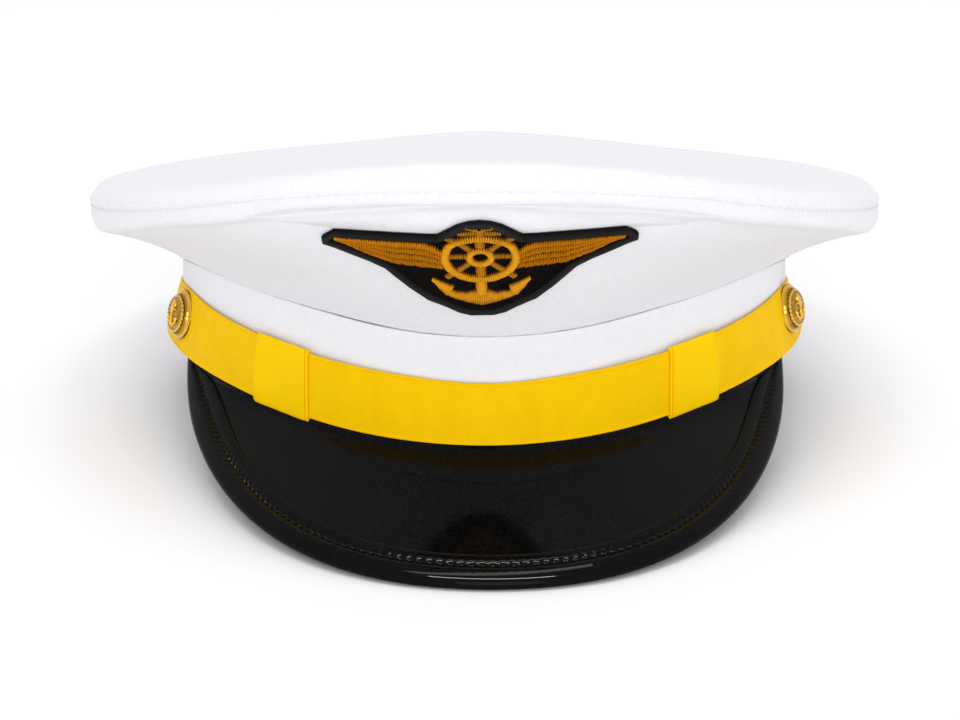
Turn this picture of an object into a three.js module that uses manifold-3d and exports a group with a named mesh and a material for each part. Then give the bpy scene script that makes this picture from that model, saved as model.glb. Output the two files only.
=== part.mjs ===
// Peaked uniform cap: a wide white crown rising to the front, a white head band, a yellow ribbon
// chin strap with two keepers and two domed buttons, a black patent peak with a bound edge, and an
// embroidered patch on the front of the crown.
// Millimetres. The peak points to -Y, Z is up, and left and right are as seen from the front.
// The cap is drawn square to its head band and then tipped back on to the surface it lies on,
// where it touches along the back of the band and under the tip of the peak.

import * as THREE from 'three';
import Module from 'manifold-3d';

const wasm = await Module();
wasm.setup();

// Space left between pieces that touch
const GAP = 0.3;

// Head band, an oval drawn in a little on its front diagonals
const BAND_HALF_WIDTH = 88.8;
const BAND_HALF_LENGTH = 104.2;
const BAND_WALL = 2.6;
const BAND_DRAWN_IN = 0.048;

// Widest line of the crown, along the rolled edge
const RING_HALF_WIDTH = 114.9;
const RING_FRONT = 140;
const RING_BACK = 122;

// Crown cloth and the rolled edge, whose section is a full rounded oblong
const CLOTH = 1.8;
const ROLL_REACH = 5.8;
const ROLL_FULLNESS = 2.5;
const CREASE_OVERHANG = 1.2;
const RIDGE_HEIGHT = 2.4;
const RIDGE_HALF_WIDTH = 50;

// Crown heights round the cap from the front (0) to the back (180): crease on the band, bottom
// of the roll, seam and top of the roll, and the slopes at which the wall leaves and arrives
const CROWN = [
  { azimuth: 0, crease: 33.0, bottom: 74.0, seam: 82.1, top: 87.5, leave: 60, arrive: 50 },
  { azimuth: 15, crease: 33.7, bottom: 72.4, seam: 80.6, top: 85.6, leave: 60, arrive: 49 },
  { azimuth: 30, crease: 35.4, bottom: 67.8, seam: 75.7, top: 79.8, leave: 58, arrive: 44 },
  { azimuth: 45, crease: 36.4, bottom: 61.2, seam: 68.4, top: 72.4, leave: 54, arrive: 34 },
  { azimuth: 60, crease: 36.9, bottom: 53.6, seam: 61.2, top: 65.6, leave: 50, arrive: 22 },
  { azimuth: 75, crease: 35.2, bottom: 45.0, seam: 54.6, top: 59.2, leave: 34, arrive: 14 },
  { azimuth: 90, crease: 30.4, bottom: 38.4, seam: 48.6, top: 54.0, leave: 26, arrive: 13 },
  { azimuth: 120, crease: 26.8, bottom: 32.8, seam: 41.6, top: 46.6, leave: 44, arrive: 14 },
  { azimuth: 150, crease: 25.6, bottom: 29.8, seam: 37.8, top: 42.8, leave: 46, arrive: 16 },
  { azimuth: 180, crease: 25.0, bottom: 29.4, seam: 37.4, top: 42.7, leave: 46, arrive: 16 },
];

// Lower rim of the band, raised off the surface at the sides by the pull of the peak
const RIM = [
  { azimuth: 0, lift: 0.0 },
  { azimuth: 30, lift: 0.6 },
  { azimuth: 60, lift: 2.4 },
  { azimuth: 75, lift: 2.9 },
  { azimuth: 90, lift: 2.6 },
  { azimuth: 120, lift: 0.4 },
];
const RIM_FLAT_FROM = 145;

// Stations of the crown's mesh: round it, up its wall, over its roll and in to its middle
const CROWN_STEPS = 60;
const WALL_STATIONS = [0, 0.12, 0.28, 0.46, 0.64, 0.82, 1];
const SIDE_ROLL_STATIONS = [-66, -46, -28, -12];
const TOP_ROLL_STATIONS = [32, 50, 70, 90];
const PANEL_RINGS = [0.955, 0.86, 0.7, 0.48, 0.22];
const PANEL_WAVES = 7;

// Chin strap: lower and upper edge heights and how far each stands off the band
const STRAP_THICKNESS = 0.7;
const STRAP_END = 89;
const STRAP = [
  { azimuth: 0, low: 3.2, high: 20.4, lowOff: 1.3, highOff: 0.4 },
  { azimuth: 15, low: 3.6, high: 21.6, lowOff: 1.3, highOff: 0.5 },
  { azimuth: 30, low: 4.6, high: 23.0, lowOff: 1.5, highOff: 1.3 },
  { azimuth: 45, low: 6.3, high: 24.5, lowOff: 1.9, highOff: 1.3 },
  { azimuth: 60, low: 8.0, high: 26.0, lowOff: 2.4, highOff: 0.6 },
  { azimuth: 75, low: 9.6, high: 27.8, lowOff: 3.2, highOff: 0.3 },
  { azimuth: 90, low: 10.8, high: 27.0, lowOff: 4.0, highOff: 0.3 },
  { azimuth: 100, low: 11.0, high: 25.8, lowOff: 3.6, highOff: 0.3 },
];

// Keepers, flat ribbon loops round the strap
const KEEPER_AZIMUTH = 40.3;
const KEEPER_HALF_SPAN = 6.4;
const KEEPER_THICKNESS = 0.6;
const KEEPER_MARGIN = 0.5;

// Buttons, turned a little to the front of the strap they sit on
const BUTTON_AZIMUTH = 76;
const BUTTON_TURN = 69;
const BUTTON_LIFT = 13;
const BUTTON_STANDOFF = 0.6;
const BUTTON_HEIGHT_SHARE = 0.56;
const SHANK_RADIUS = 1.6;
const SHANK_LENGTH = 1.9;
const BUTTON_SECTION = [
  { radius: 6.3, height: 0.0 },
  { radius: 6.9, height: 0.3 },
  { radius: 7.0, height: 0.8 },
  { radius: 6.8, height: 1.2 },
  { radius: 6.2, height: 1.3 },
  { radius: 6.0, height: 1.8 },
  { radius: 5.2, height: 2.5 },
  { radius: 3.8, height: 3.1 },
  { radius: 2.0, height: 3.4 },
];
const BUTTON_CROWN = 3.5;
const ROPE_RADIUS = 4.9;
const ROPE_HEIGHT = 2.55;
const ROPE_THICKNESS = 0.45;
const RELIEF = 0.35;

// Peak plate and the strip bound over its edge
const PEAK_THICKNESS = 1.8;
const PEAK_END = 66;
const PEAK_STEPS = 44;
const PEAK_FAN = 0.25;
const PEAK_ROOT = [
  { azimuth: 0, height: 2.4, off: 0.3 },
  { azimuth: 45, height: 4.3, off: 0.3 },
  { azimuth: 66, height: 6.9, off: 1.6 },
];
const PEAK_TIP = { y: -151.4, z: -20.25 };
const PEAK_CORNER = { x: 84.5, y: -33.0, z: 8.1 };
const PEAK_SIDE = { x: 82.9, y: -55.5, z: -5.8 };
const PEAK_FRONT_PULL = 73.6;
const PEAK_LEAN = { tip: 1.8, corner: 0.1 };
const BINDING_WIDTH = 8.5;
const BINDING_THICKNESS = 0.8;
const CORNER_TAPER = 0.55;
const BEAD_OUTER_STATIONS = [90, 54, 18, -18, -54, -90];
const BEAD_INNER_STATIONS = [-90, 0, 90];

// Patch on the front of the crown, drawn flat about the middle of its wheel: how far across, and
// how far up the wall, which leans back from the peak at this slope
const PATCH = { x: -1.2, z: 61.3, turn: 1.5, slope: 50.5 };
const PATCH_THICKNESS = 1.2;
const MOTIF_THICKNESS = 0.9;
const MOTIF_GAP = 0.45;
const MOTIF_FROM = GAP + PATCH_THICKNESS + MOTIF_GAP;
const PATCH_OUTLINE = [
  { across: 0, top: 15.3, bottom: -25.0 },
  { across: 3.0, top: 14.9, bottom: -25.0 },
  { across: 6.0, top: 13.6, bottom: -23.9 },
  { across: 9.2, top: 10.9, bottom: -21.6 },
  { across: 11.3, top: 8.6, bottom: -20.3 },
  { across: 14.1, top: 8.6, bottom: -18.7 },
  { across: 18.8, top: 8.9, bottom: -13.7 },
  { across: 22.3, top: 9.0, bottom: -9.3 },
  { across: 24.9, top: 9.1, bottom: -5.8 },
  { across: 29.0, top: 9.1, bottom: -2.9 },
  { across: 34.3, top: 9.2, bottom: 0.0 },
  { across: 38.2, top: 9.2, bottom: 2.1 },
  { across: 41.2, top: 5.9, bottom: 3.5 },
];
const WING_OUTLINE = [
  { across: 10.4, top: 2.8, bottom: -4.65 },
  { across: 11.7, top: 4.3, bottom: -4.5 },
  { across: 14.4, top: 6.4, bottom: -4.0 },
  { across: 18.0, top: 6.7, bottom: -3.3 },
  { across: 21.9, top: 6.85, bottom: -2.8 },
  { across: 23.7, top: 6.95, bottom: -1.9 },
  { across: 26.2, top: 7.05, bottom: -0.4 },
  { across: 29.1, top: 7.1, bottom: 1.2 },
  { across: 32.8, top: 7.2, bottom: 4.0 },
  { across: 37.4, top: 7.1, bottom: 6.6 },
];
const WHEEL = { rim: 9.8, rimInner: 7.8, hub: 3.5, hubInner: 1.9, spoke: 1.7, handle: 12.2 };
const SHACKLE = [
  [-5.6, 10.3], [-1.2, 10.5], [-1.2, 9.0], [1.2, 9.0], [1.2, 10.5], [5.6, 10.3], [5.2, 11.4],
  [1.6, 11.6], [3.6, 13.2], [0, 12.5], [-3.6, 13.2], [-1.6, 11.6], [-5.2, 11.4],
];
const ANCHOR_OUTLINE = [
  { across: 0, top: -10.3, bottom: -19.6 },
  { across: 1.4, top: -10.3, bottom: -19.3 },
  { across: 1.7, top: -13.0, bottom: -19.2 },
  { across: 3.5, top: -14.5, bottom: -18.3 },
  { across: 6.8, top: -13.9, bottom: -16.8 },
  { across: 7.3, top: -11.5, bottom: -16.4 },
  { across: 9.3, top: -10.4, bottom: -15.0 },
  { across: 12.4, top: -8.5, bottom: -8.9 },
];

const DEGREE = Math.PI / 180;

function mix(from, to, share) {
  return from + (to - from) * share;
}

function vector(x, y, z) {
  return new THREE.Vector3(x, y, z);
}

// Smooth reading of one column of a table at an azimuth, the same on both sides of the cap
function column(table, name, azimuth) {
  const place = Math.abs(azimuth);
  const last = table.length - 1;
  if (place >= table[last].azimuth) {
    return table[last][name];
  }
  const slopeAt = (row) => {
    if (row === 0 || row === last) {
      return 0;
    }
    const before = table[row - 1];
    const after = table[row + 1];
    return (after[name] - before[name]) / (after.azimuth - before.azimuth);
  };
  const row = table.findIndex((entry) => entry.azimuth > place) - 1;
  const width = table[row + 1].azimuth - table[row].azimuth;
  const t = (place - table[row].azimuth) / width;
  const t2 = t * t;
  const t3 = t2 * t;
  return (2 * t3 - 3 * t2 + 1) * table[row][name]
    + (t3 - 2 * t2 + t) * width * slopeAt(row)
    + (3 * t2 - 2 * t3) * table[row + 1][name]
    + (t3 - t2) * width * slopeAt(row + 1);
}

// Closed solid from equal loops of points, joined in order; capped at both ends unless it
// comes round to its start
function sweep(loops, round) {
  const size = loops[0].length;
  const points = loops.flat();
  const triangles = [];
  const spans = round ? loops.length : loops.length - 1;
  for (let i = 0; i < spans; i += 1) {
    const here = i * size;
    const next = ((i + 1) % loops.length) * size;
    for (let j = 0; j < size; j += 1) {
      const k = (j + 1) % size;
      triangles.push([here + j, here + k, next + k], [here + j, next + k, next + j]);
    }
  }
  if (!round) {
    const lastLoop = (loops.length - 1) * size;
    for (const [a, b, c] of capTriangles(loops[0])) {
      triangles.push([c, b, a]);
    }
    for (const [a, b, c] of capTriangles(loops[loops.length - 1])) {
      triangles.push([lastLoop + a, lastLoop + b, lastLoop + c]);
    }
  }
  return outward(points, triangles);
}

// Triangles over one loop, wound along the loop
function capTriangles(loop) {
  const middle = vector(0, 0, 0);
  for (const point of loop) {
    middle.addScaledVector(point, 1 / loop.length);
  }
  const normal = vector(0, 0, 0);
  for (let i = 0; i < loop.length; i += 1) {
    const from = loop[i].clone().sub(middle);
    const to = loop[(i + 1) % loop.length].clone().sub(middle);
    normal.add(from.cross(to));
  }
  normal.normalize();
  const across = loop[1].clone().sub(loop[0]).normalize();
  const up = normal.clone().cross(across);
  const flat = loop.map((point) => {
    const offset = point.clone().sub(middle);
    return new THREE.Vector2(offset.dot(across), offset.dot(up));
  });
  return THREE.ShapeUtils.triangulateShape(flat, []);
}

// Geometry with its triangles facing out
function outward(points, triangles) {
  let volume = 0;
  for (const [a, b, c] of triangles) {
    volume += points[a].dot(points[b].clone().cross(points[c]));
  }
  const index = triangles.flatMap(([a, b, c]) => (volume > 0 ? [a, b, c] : [a, c, b]));
  const geometry = new THREE.BufferGeometry().setFromPoints(points);
  geometry.setIndex(index);
  return geometry;
}

// Plan of the head band at an azimuth, moved out by a distance
function bandPlan(azimuth, out) {
  const angle = azimuth * DEGREE;
  const front = Math.cos(angle) > 0;
  const drawnIn = front ? BAND_DRAWN_IN * Math.sin(2 * angle) ** 2 : 0;
  return vector(
    (BAND_HALF_WIDTH + out) * Math.sin(angle) * (1 - drawnIn),
    -(BAND_HALF_LENGTH + out) * Math.cos(angle) * (1 - drawnIn),
    0,
  );
}

// Plan of the widest line of the crown at an azimuth
function ringPlan(azimuth) {
  const angle = azimuth * DEGREE;
  const reach = Math.cos(angle) > 0 ? RING_FRONT : RING_BACK;
  return vector(RING_HALF_WIDTH * Math.sin(angle), -reach * Math.cos(angle), 0);
}

// Point of a crown section, at a distance out from the band and a height
function crownPoint(azimuth, out, height) {
  const start = bandPlan(azimuth, 0);
  const direction = ringPlan(azimuth).sub(start).normalize();
  return start.addScaledVector(direction, out).setZ(height);
}

// Rolled edge of the crown at an azimuth: centre and half sizes of its section
function roll(azimuth) {
  const bottom = column(CROWN, 'bottom', azimuth);
  const top = column(CROWN, 'top', azimuth);
  const reach = ringPlan(azimuth).distanceTo(bandPlan(azimuth, 0));
  return { out: reach - ROLL_REACH, height: (bottom + top) / 2, half: (top - bottom) / 2 };
}

// Point on the rolled edge at an angle about its centre, 0 outermost and 90 on top
function rollPoint(edge, degrees) {
  const power = 2 / ROLL_FULLNESS;
  const across = Math.cos(degrees * DEGREE);
  const up = Math.sin(degrees * DEGREE);
  return {
    out: edge.out + ROLL_REACH * Math.sign(across) * Math.abs(across) ** power,
    height: edge.height + edge.half * Math.sign(up) * Math.abs(up) ** power,
  };
}

// Angle on the rolled edge at which it passes a height
function rollAngle(edge, height) {
  const share = (height - edge.height) / edge.half;
  return Math.asin(Math.sign(share) * Math.abs(share) ** (ROLL_FULLNESS / 2)) / DEGREE;
}

// Point on the crown wall, from the band (0) to the underside of the roll (1)
function wallPoint(azimuth, share) {
  const edge = roll(azimuth);
  const from = { out: CREASE_OVERHANG, height: column(CROWN, 'crease', azimuth) + 1.1 };
  const to = rollPoint(edge, -89);
  const pull = Math.hypot(to.out - from.out, to.height - from.height) / 3;
  const leave = column(CROWN, 'leave', azimuth) * DEGREE;
  const arrive = column(CROWN, 'arrive', azimuth) * DEGREE;
  const curve = new THREE.CubicBezierCurve(
    new THREE.Vector2(from.out, from.height),
    new THREE.Vector2(from.out + pull * Math.cos(leave), from.height + pull * Math.sin(leave)),
    new THREE.Vector2(to.out - pull * Math.cos(arrive), to.height - pull * Math.sin(arrive)),
    new THREE.Vector2(to.out, to.height),
  );
  const point = curve.getPoint(share);
  return { out: point.x, height: point.y };
}

// Section path moved inwards by the thickness of the cloth
function inset(path, distance) {
  return path.map((point, i) => {
    const before = path[Math.max(i - 1, 0)];
    const after = path[Math.min(i + 1, path.length - 1)];
    const run = after.out - before.out;
    const rise = after.height - before.height;
    const length = Math.hypot(run, rise);
    return {
      out: point.out - distance * rise / length,
      height: point.height + distance * run / length,
    };
  });
}

function around(steps) {
  return Array.from({ length: steps }, (_, i) => (i * 360) / steps - 180);
}

// Crown side: a lip on the band, the leaning wall, and the lower part of the rolled edge
function crownSide() {
  const loops = around(CROWN_STEPS).map((azimuth) => {
    const crease = column(CROWN, 'crease', azimuth);
    const edge = roll(azimuth);
    const seam = column(CROWN, 'seam', azimuth) - GAP / 2;
    const outer = [
      { out: CREASE_OVERHANG - 0.5, height: crease + GAP },
      ...WALL_STATIONS.map((share) => wallPoint(azimuth, share)),
      ...SIDE_ROLL_STATIONS.map((degrees) => rollPoint(edge, degrees)),
      rollPoint(edge, rollAngle(edge, seam)),
    ];
    const inner = inset(outer, CLOTH).filter((_, i) => i < 2 || i % 2 === 1);
    inner[0] = { out: CREASE_OVERHANG - 2.5, height: crease + GAP };
    inner[1] = { out: CREASE_OVERHANG - 2.0, height: crease + 2.0 };
    inner[inner.length - 1].height = seam;
    return [...outer, ...inner.reverse()].map(
      (point) => crownPoint(azimuth, point.out, point.height),
    );
  });
  return sweep(loops, true);
}

// Waves of the top panel's edge, the first its mean height and the rest its rises and dips
function panelWaves() {
  const count = 72;
  return Array.from({ length: PANEL_WAVES }, (_, wave) => {
    let sum = 0;
    for (const azimuth of around(count)) {
      sum += column(CROWN, 'top', azimuth) * Math.cos(wave * azimuth * DEGREE);
    }
    return sum * (wave === 0 ? 1 : 2) / count;
  });
}

const WAVES = panelWaves();

// Point of the top panel at a share of the way out to the roll, a stretched skin that settles
// the waves of its edge towards the middle, with a low ridge running to the back
function panelPoint(azimuth, share) {
  const edge = roll(azimuth);
  const rim = crownPoint(azimuth, edge.out, 0);
  let height = 0;
  let rimHeight = 0;
  WAVES.forEach((size, wave) => {
    const turn = size * Math.cos(wave * azimuth * DEGREE);
    height += turn * share ** wave;
    rimHeight += turn;
  });
  height += (edge.height + edge.half - rimHeight) * share ** 3;
  return rim.multiplyScalar(share).setZ(height);
}

function ridge(point) {
  const spread = Math.max(0, 1 - Math.abs(point.x) / RIDGE_HALF_WIDTH);
  const back = Math.min(1, Math.max(0, point.y / RING_BACK));
  return point.clone().setZ(point.z + RIDGE_HEIGHT * spread * back);
}

// Crown top: the upper part of the rolled edge and the panel across it
function crownTop() {
  const rings = [];
  const under = [];
  const azimuths = around(CROWN_STEPS);
  for (const azimuth of azimuths) {
    const edge = roll(azimuth);
    const seam = column(CROWN, 'seam', azimuth) + GAP / 2;
    const outer = [
      rollPoint(edge, rollAngle(edge, seam)),
      ...TOP_ROLL_STATIONS.map((degrees) => rollPoint(edge, degrees)),
    ];
    const inner = inset([...outer, { out: edge.out - 3, height: edge.height + edge.half }], CLOTH);
    inner[0].height = seam;
    const skin = PANEL_RINGS.map((share) => panelPoint(azimuth, share));
    rings.push([
      ...outer.map((point) => crownPoint(azimuth, point.out, point.height)),
      ...skin,
    ].map(ridge));
    under.push([
      ...inner.slice(0, outer.length).map(
        (point) => crownPoint(azimuth, point.out, point.height),
      ),
      ...skin.map((point) => point.clone().setZ(point.z - CLOTH)),
    ].map(ridge));
  }
  const size = rings[0].length;
  const centre = panelPoint(0, 0);
  const points = [...rings.flat(), ...under.flat(), centre, vector(0, 0, centre.z - CLOTH)];
  const top = azimuths.length * size;
  const triangles = [];
  for (let i = 0; i < azimuths.length; i += 1) {
    const here = i * size;
    const next = ((i + 1) % azimuths.length) * size;
    for (let j = 0; j < size - 1; j += 1) {
      triangles.push([here + j, next + j, next + j + 1], [here + j, next + j + 1, here + j + 1]);
      triangles.push(
        [top + here + j, top + next + j + 1, top + next + j],
        [top + here + j, top + here + j + 1, top + next + j + 1],
      );
    }
    triangles.push([here + size - 1, next + size - 1, 2 * top]);
    triangles.push([top + next + size - 1, top + here + size - 1, 2 * top + 1]);
    triangles.push([here, top + here, top + next], [here, top + next, next]);
  }
  return outward(points, triangles);
}

// Point of the crown's front face seen square from the front at x and z
function crownFace(x, z) {
  const at = (azimuth) => {
    let low = 0;
    let high = 1;
    for (let i = 0; i < 16; i += 1) {
      const middle = (low + high) / 2;
      if (wallPoint(azimuth, middle).height < z) {
        low = middle;
      } else {
        high = middle;
      }
    }
    return crownPoint(azimuth, wallPoint(azimuth, low).out, z);
  };
  let left = -45;
  let right = 45;
  for (let i = 0; i < 20; i += 1) {
    const middle = (left + right) / 2;
    if (at(middle).x < x) {
      left = middle;
    } else {
      right = middle;
    }
  }
  return at(left);
}

// Point of the patch laid on the crown, a distance out from the cloth
function patchPoint(across, up, out) {
  const turn = PATCH.turn * DEGREE;
  const x = PATCH.x + across * Math.cos(turn) - up * Math.sin(turn);
  const rise = across * Math.sin(turn) + up * Math.cos(turn);
  const z = PATCH.z + rise * Math.sin(PATCH.slope * DEGREE);
  const face = crownFace(x, z);
  const aside = crownFace(x + 0.5, z).sub(face);
  const above = crownFace(x, z + 0.5).sub(face);
  return face.addScaledVector(aside.cross(above).normalize(), out);
}

// Flat layer of the patch between an upper and a lower line, laid on the crown
function patchLayer(columns, from, to) {
  return sweep(columns.map(({ across, top, bottom }) => [
    patchPoint(across, bottom, from),
    patchPoint(across, bottom, to),
    patchPoint(across, mix(bottom, top, 0.5), to),
    patchPoint(across, top, to),
    patchPoint(across, top, from),
    patchPoint(across, mix(bottom, top, 0.5), from),
  ]), false);
}

function bothSides(rows) {
  const left = rows.slice(1).map((row) => ({ ...row, across: -row.across }));
  return [...left.reverse(), ...rows];
}

function badgeBacking() {
  return patchLayer(bothSides(PATCH_OUTLINE), GAP, GAP + PATCH_THICKNESS);
}

function badgeWing(side) {
  const columns = WING_OUTLINE.map((row) => ({ ...row, across: side * row.across }));
  return patchLayer(columns, MOTIF_FROM, MOTIF_FROM + MOTIF_THICKNESS);
}

// Flat solid laid on the crown over the patch
function onPatch(solid) {
  const geometry = fromManifold(solid);
  const position = geometry.getAttribute('position');
  for (let i = 0; i < position.count; i += 1) {
    const point = patchPoint(
      position.getX(i),
      position.getY(i),
      MOTIF_FROM + position.getZ(i),
    );
    position.setXYZ(i, point.x, point.y, point.z);
  }
  return geometry;
}

// Ship's wheel: rim and hub rings, eight spokes with handles on the diagonals, and the shackle
function badgeWheel() {
  const disc = (radius, steps) => toManifold(
    turned([{ radius, height: 0 }, { radius, height: MOTIF_THICKNESS }], steps),
  );
  const bar = (halfWidth, from, to) => toManifold(raised(
    [[-halfWidth, from], [halfWidth, from], [halfWidth, to], [-halfWidth, to]],
    0,
    MOTIF_THICKNESS,
  ));
  let solid = disc(WHEEL.rim, 28).subtract(disc(WHEEL.rimInner, 28));
  solid = solid.add(disc(WHEEL.hub, 14));
  for (let i = 0; i < 8; i += 1) {
    const upright = i % 4 === 0;
    const reach = i % 2 === 1 ? WHEEL.handle : WHEEL.rim - 1;
    const halfWidth = upright ? WHEEL.spoke * 0.8 : WHEEL.spoke * 0.5;
    solid = solid.add(bar(halfWidth, WHEEL.hub - 1, reach).rotate([0, 0, i * 45]));
  }
  solid = solid.subtract(disc(WHEEL.hubInner, 14));
  return onPatch(solid.add(toManifold(raised(SHACKLE, 0, MOTIF_THICKNESS))));
}

function badgeAnchor() {
  return patchLayer(bothSides(ANCHOR_OUTLINE), MOTIF_FROM, MOTIF_FROM + MOTIF_THICKNESS);
}

// Edge of the peak, half of it from the tip to the corner under the strap
function peakEdgeCurve() {
  return new THREE.CubicBezierCurve3(
    vector(0, PEAK_TIP.y, PEAK_TIP.z),
    vector(PEAK_FRONT_PULL, PEAK_TIP.y, PEAK_TIP.z),
    vector(PEAK_SIDE.x, PEAK_SIDE.y, PEAK_SIDE.z),
    vector(PEAK_CORNER.x, PEAK_CORNER.y, PEAK_CORNER.z),
  );
}

// Lines of the peak from the band to its edge, from one corner round to the other, each with
// its direction, its upward normal and how much the plate thins towards the corner
function peakLines() {
  const half = PEAK_STEPS / 2;
  const curve = peakEdgeCurve();
  const raw = [];
  for (let i = -half; i <= half; i += 1) {
    const share = Math.abs(i) / half;
    const side = Math.sign(i);
    const edge = curve.getPointAt(share);
    edge.x = side * edge.x + mix(PEAK_LEAN.tip, PEAK_LEAN.corner, share);
    const spread = share * (1 - PEAK_FAN * (1 - share));
    const azimuth = side * PEAK_END * spread;
    const root = bandPlan(azimuth, column(PEAK_ROOT, 'off', azimuth));
    root.setZ(column(PEAK_ROOT, 'height', azimuth));
    const thin = mix(1, CORNER_TAPER, Math.max(0, (share - 0.8) / 0.2));
    raw.push({ root, edge, thin });
  }
  return raw.map((line, i) => {
    const before = raw[Math.max(i - 1, 0)];
    const after = raw[Math.min(i + 1, raw.length - 1)];
    const along = after.edge.clone().sub(before.edge).normalize();
    const out = line.edge.clone().sub(line.root).normalize();
    const normal = out.clone().cross(along).normalize();
    if (normal.z < 0) {
      normal.negate();
    }
    return { ...line, out, normal, length: line.root.distanceTo(line.edge) };
  });
}

// Point beside a line of the peak: a distance in from its edge and a height off its middle
function peakPoint(line, inward, height) {
  return line.edge.clone()
    .addScaledVector(line.out, -inward)
    .addScaledVector(line.normal, height);
}

function peak() {
  const loops = peakLines().map((line) => {
    const half = (PEAK_THICKNESS / 2) * line.thin;
    const inner = line.length - 1.5;
    const rise = half / Math.max(0.5, line.normal.z);
    return [
      line.root.clone().setZ(line.root.z + rise),
      peakPoint(line, inner * 0.5, half),
      peakPoint(line, 0.4, half),
      peakPoint(line, 0, 0),
      peakPoint(line, 0.4, -half),
      peakPoint(line, inner * 0.5, -half),
      line.root.clone().setZ(line.root.z - rise),
    ];
  });
  return sweep(loops, false);
}

// Binding: a strip folded over the edge of the peak, its section a narrow U
function peakBinding() {
  const loops = peakLines().map((line) => {
    const inside = (PEAK_THICKNESS / 2) * line.thin + GAP;
    const outside = inside + BINDING_THICKNESS * line.thin;
    const width = Math.min(BINDING_WIDTH, line.length - 1);
    const bead = (radius) => (degrees) => {
      const angle = degrees * DEGREE;
      return peakPoint(line, -radius * Math.cos(angle), radius * Math.sin(angle));
    };
    return [
      peakPoint(line, width, outside),
      ...BEAD_OUTER_STATIONS.map(bead(outside)),
      peakPoint(line, width, -outside),
      peakPoint(line, width, -inside),
      ...BEAD_INNER_STATIONS.map(bead(inside)),
      peakPoint(line, width, inside),
    ];
  });
  return sweep(loops, false);
}

// Lowest line of the cap under the peak, as the slope back to the rear of the band
function restingTilt(binding) {
  const position = binding.getAttribute('position');
  let tilt = 0;
  for (let i = 0; i < position.count; i += 1) {
    const run = BAND_HALF_LENGTH - position.getY(i);
    tilt = Math.max(tilt, Math.atan2(-position.getZ(i), run));
  }
  return tilt;
}

// Height of the lower rim of the band; towards the back it lies flat on the surface
function rimHeight(azimuth, y, tilt) {
  const surface = -(BAND_HALF_LENGTH - y) * Math.tan(tilt);
  const place = Math.abs(azimuth);
  const settle = THREE.MathUtils.smoothstep(place, 95, RIM_FLAT_FROM);
  return mix(column(RIM, 'lift', place), surface, settle);
}

function band(tilt) {
  const loops = around(CROWN_STEPS).map((azimuth) => {
    const outer = bandPlan(azimuth, 0);
    const inner = bandPlan(azimuth, -BAND_WALL);
    const top = column(CROWN, 'crease', azimuth);
    return [
      outer.clone().setZ(rimHeight(azimuth, outer.y, tilt)),
      outer.clone().setZ(top),
      inner.clone().setZ(top),
      inner.clone().setZ(rimHeight(azimuth, inner.y, tilt)),
    ];
  });
  return sweep(loops, true);
}

// Point on the strap: share of the way up it, and a distance out from its inner face
function strapPoint(azimuth, share, out) {
  const low = column(STRAP, 'low', azimuth);
  const high = column(STRAP, 'high', azimuth);
  const stand = mix(
    column(STRAP, 'lowOff', azimuth),
    column(STRAP, 'highOff', azimuth),
    share,
  );
  return bandPlan(azimuth, stand + out).setZ(mix(low, high, share));
}

function strap(shanks) {
  const steps = 52;
  const loops = Array.from({ length: steps + 1 }, (_, i) => {
    const azimuth = mix(-STRAP_END, STRAP_END, i / steps);
    return [
      strapPoint(azimuth, 0, 0),
      strapPoint(azimuth, 0, STRAP_THICKNESS),
      strapPoint(azimuth, 1, STRAP_THICKNESS),
      strapPoint(azimuth, 1, 0),
    ];
  });
  return shanks.reduce((solid, shank) => solid.subtract(shank), toManifold(sweep(loops, false)));
}

// Keeper: a loop of ribbon round the strap, a little fuller at its outer side
function keeper(side) {
  const steps = 4;
  const rise = column(STRAP, 'high', KEEPER_AZIMUTH) - column(STRAP, 'low', KEEPER_AZIMUTH);
  const ring = (azimuth, grow) => {
    const margin = (KEEPER_MARGIN + grow) / rise;
    const back = -GAP - grow;
    const front = STRAP_THICKNESS + GAP + grow;
    const middle = STRAP_THICKNESS / 2;
    return [
      strapPoint(azimuth, 0, back),
      strapPoint(azimuth, -margin, middle),
      strapPoint(azimuth, 0, front),
      strapPoint(azimuth, 0.5, front),
      strapPoint(azimuth, 1, front),
      strapPoint(azimuth, 1 + margin, middle),
      strapPoint(azimuth, 1, back),
      strapPoint(azimuth, 0.5, back),
    ];
  };
  const azimuths = Array.from({ length: steps + 1 }, (_, i) => (
    side * (KEEPER_AZIMUTH + mix(-KEEPER_HALF_SPAN, KEEPER_HALF_SPAN, i / steps))
  ));
  const outer = azimuths.map((azimuth) => ring(azimuth, KEEPER_THICKNESS));
  const inner = azimuths.map((azimuth) => ring(azimuth, 0));
  const size = outer[0].length;
  const loops = Array.from({ length: size }, (_, j) => [
    ...outer.map((loop) => loop[j]),
    ...inner.map((loop) => loop[j]).reverse(),
  ]);
  return sweep(loops, true);
}

// Solid of the boolean kernel from a geometry, and back
function toManifold(geometry) {
  const position = geometry.getAttribute('position');
  return new wasm.Manifold(new wasm.Mesh({
    numProp: 3,
    vertProperties: Float32Array.from(position.array),
    triVerts: Uint32Array.from(geometry.getIndex().array),
  }));
}

function fromManifold(solid) {
  const mesh = solid.getMesh();
  const geometry = new THREE.BufferGeometry();
  geometry.setAttribute('position', new THREE.BufferAttribute(mesh.vertProperties.slice(), 3));
  geometry.setIndex(Array.from(mesh.triVerts));
  return geometry;
}

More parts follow.
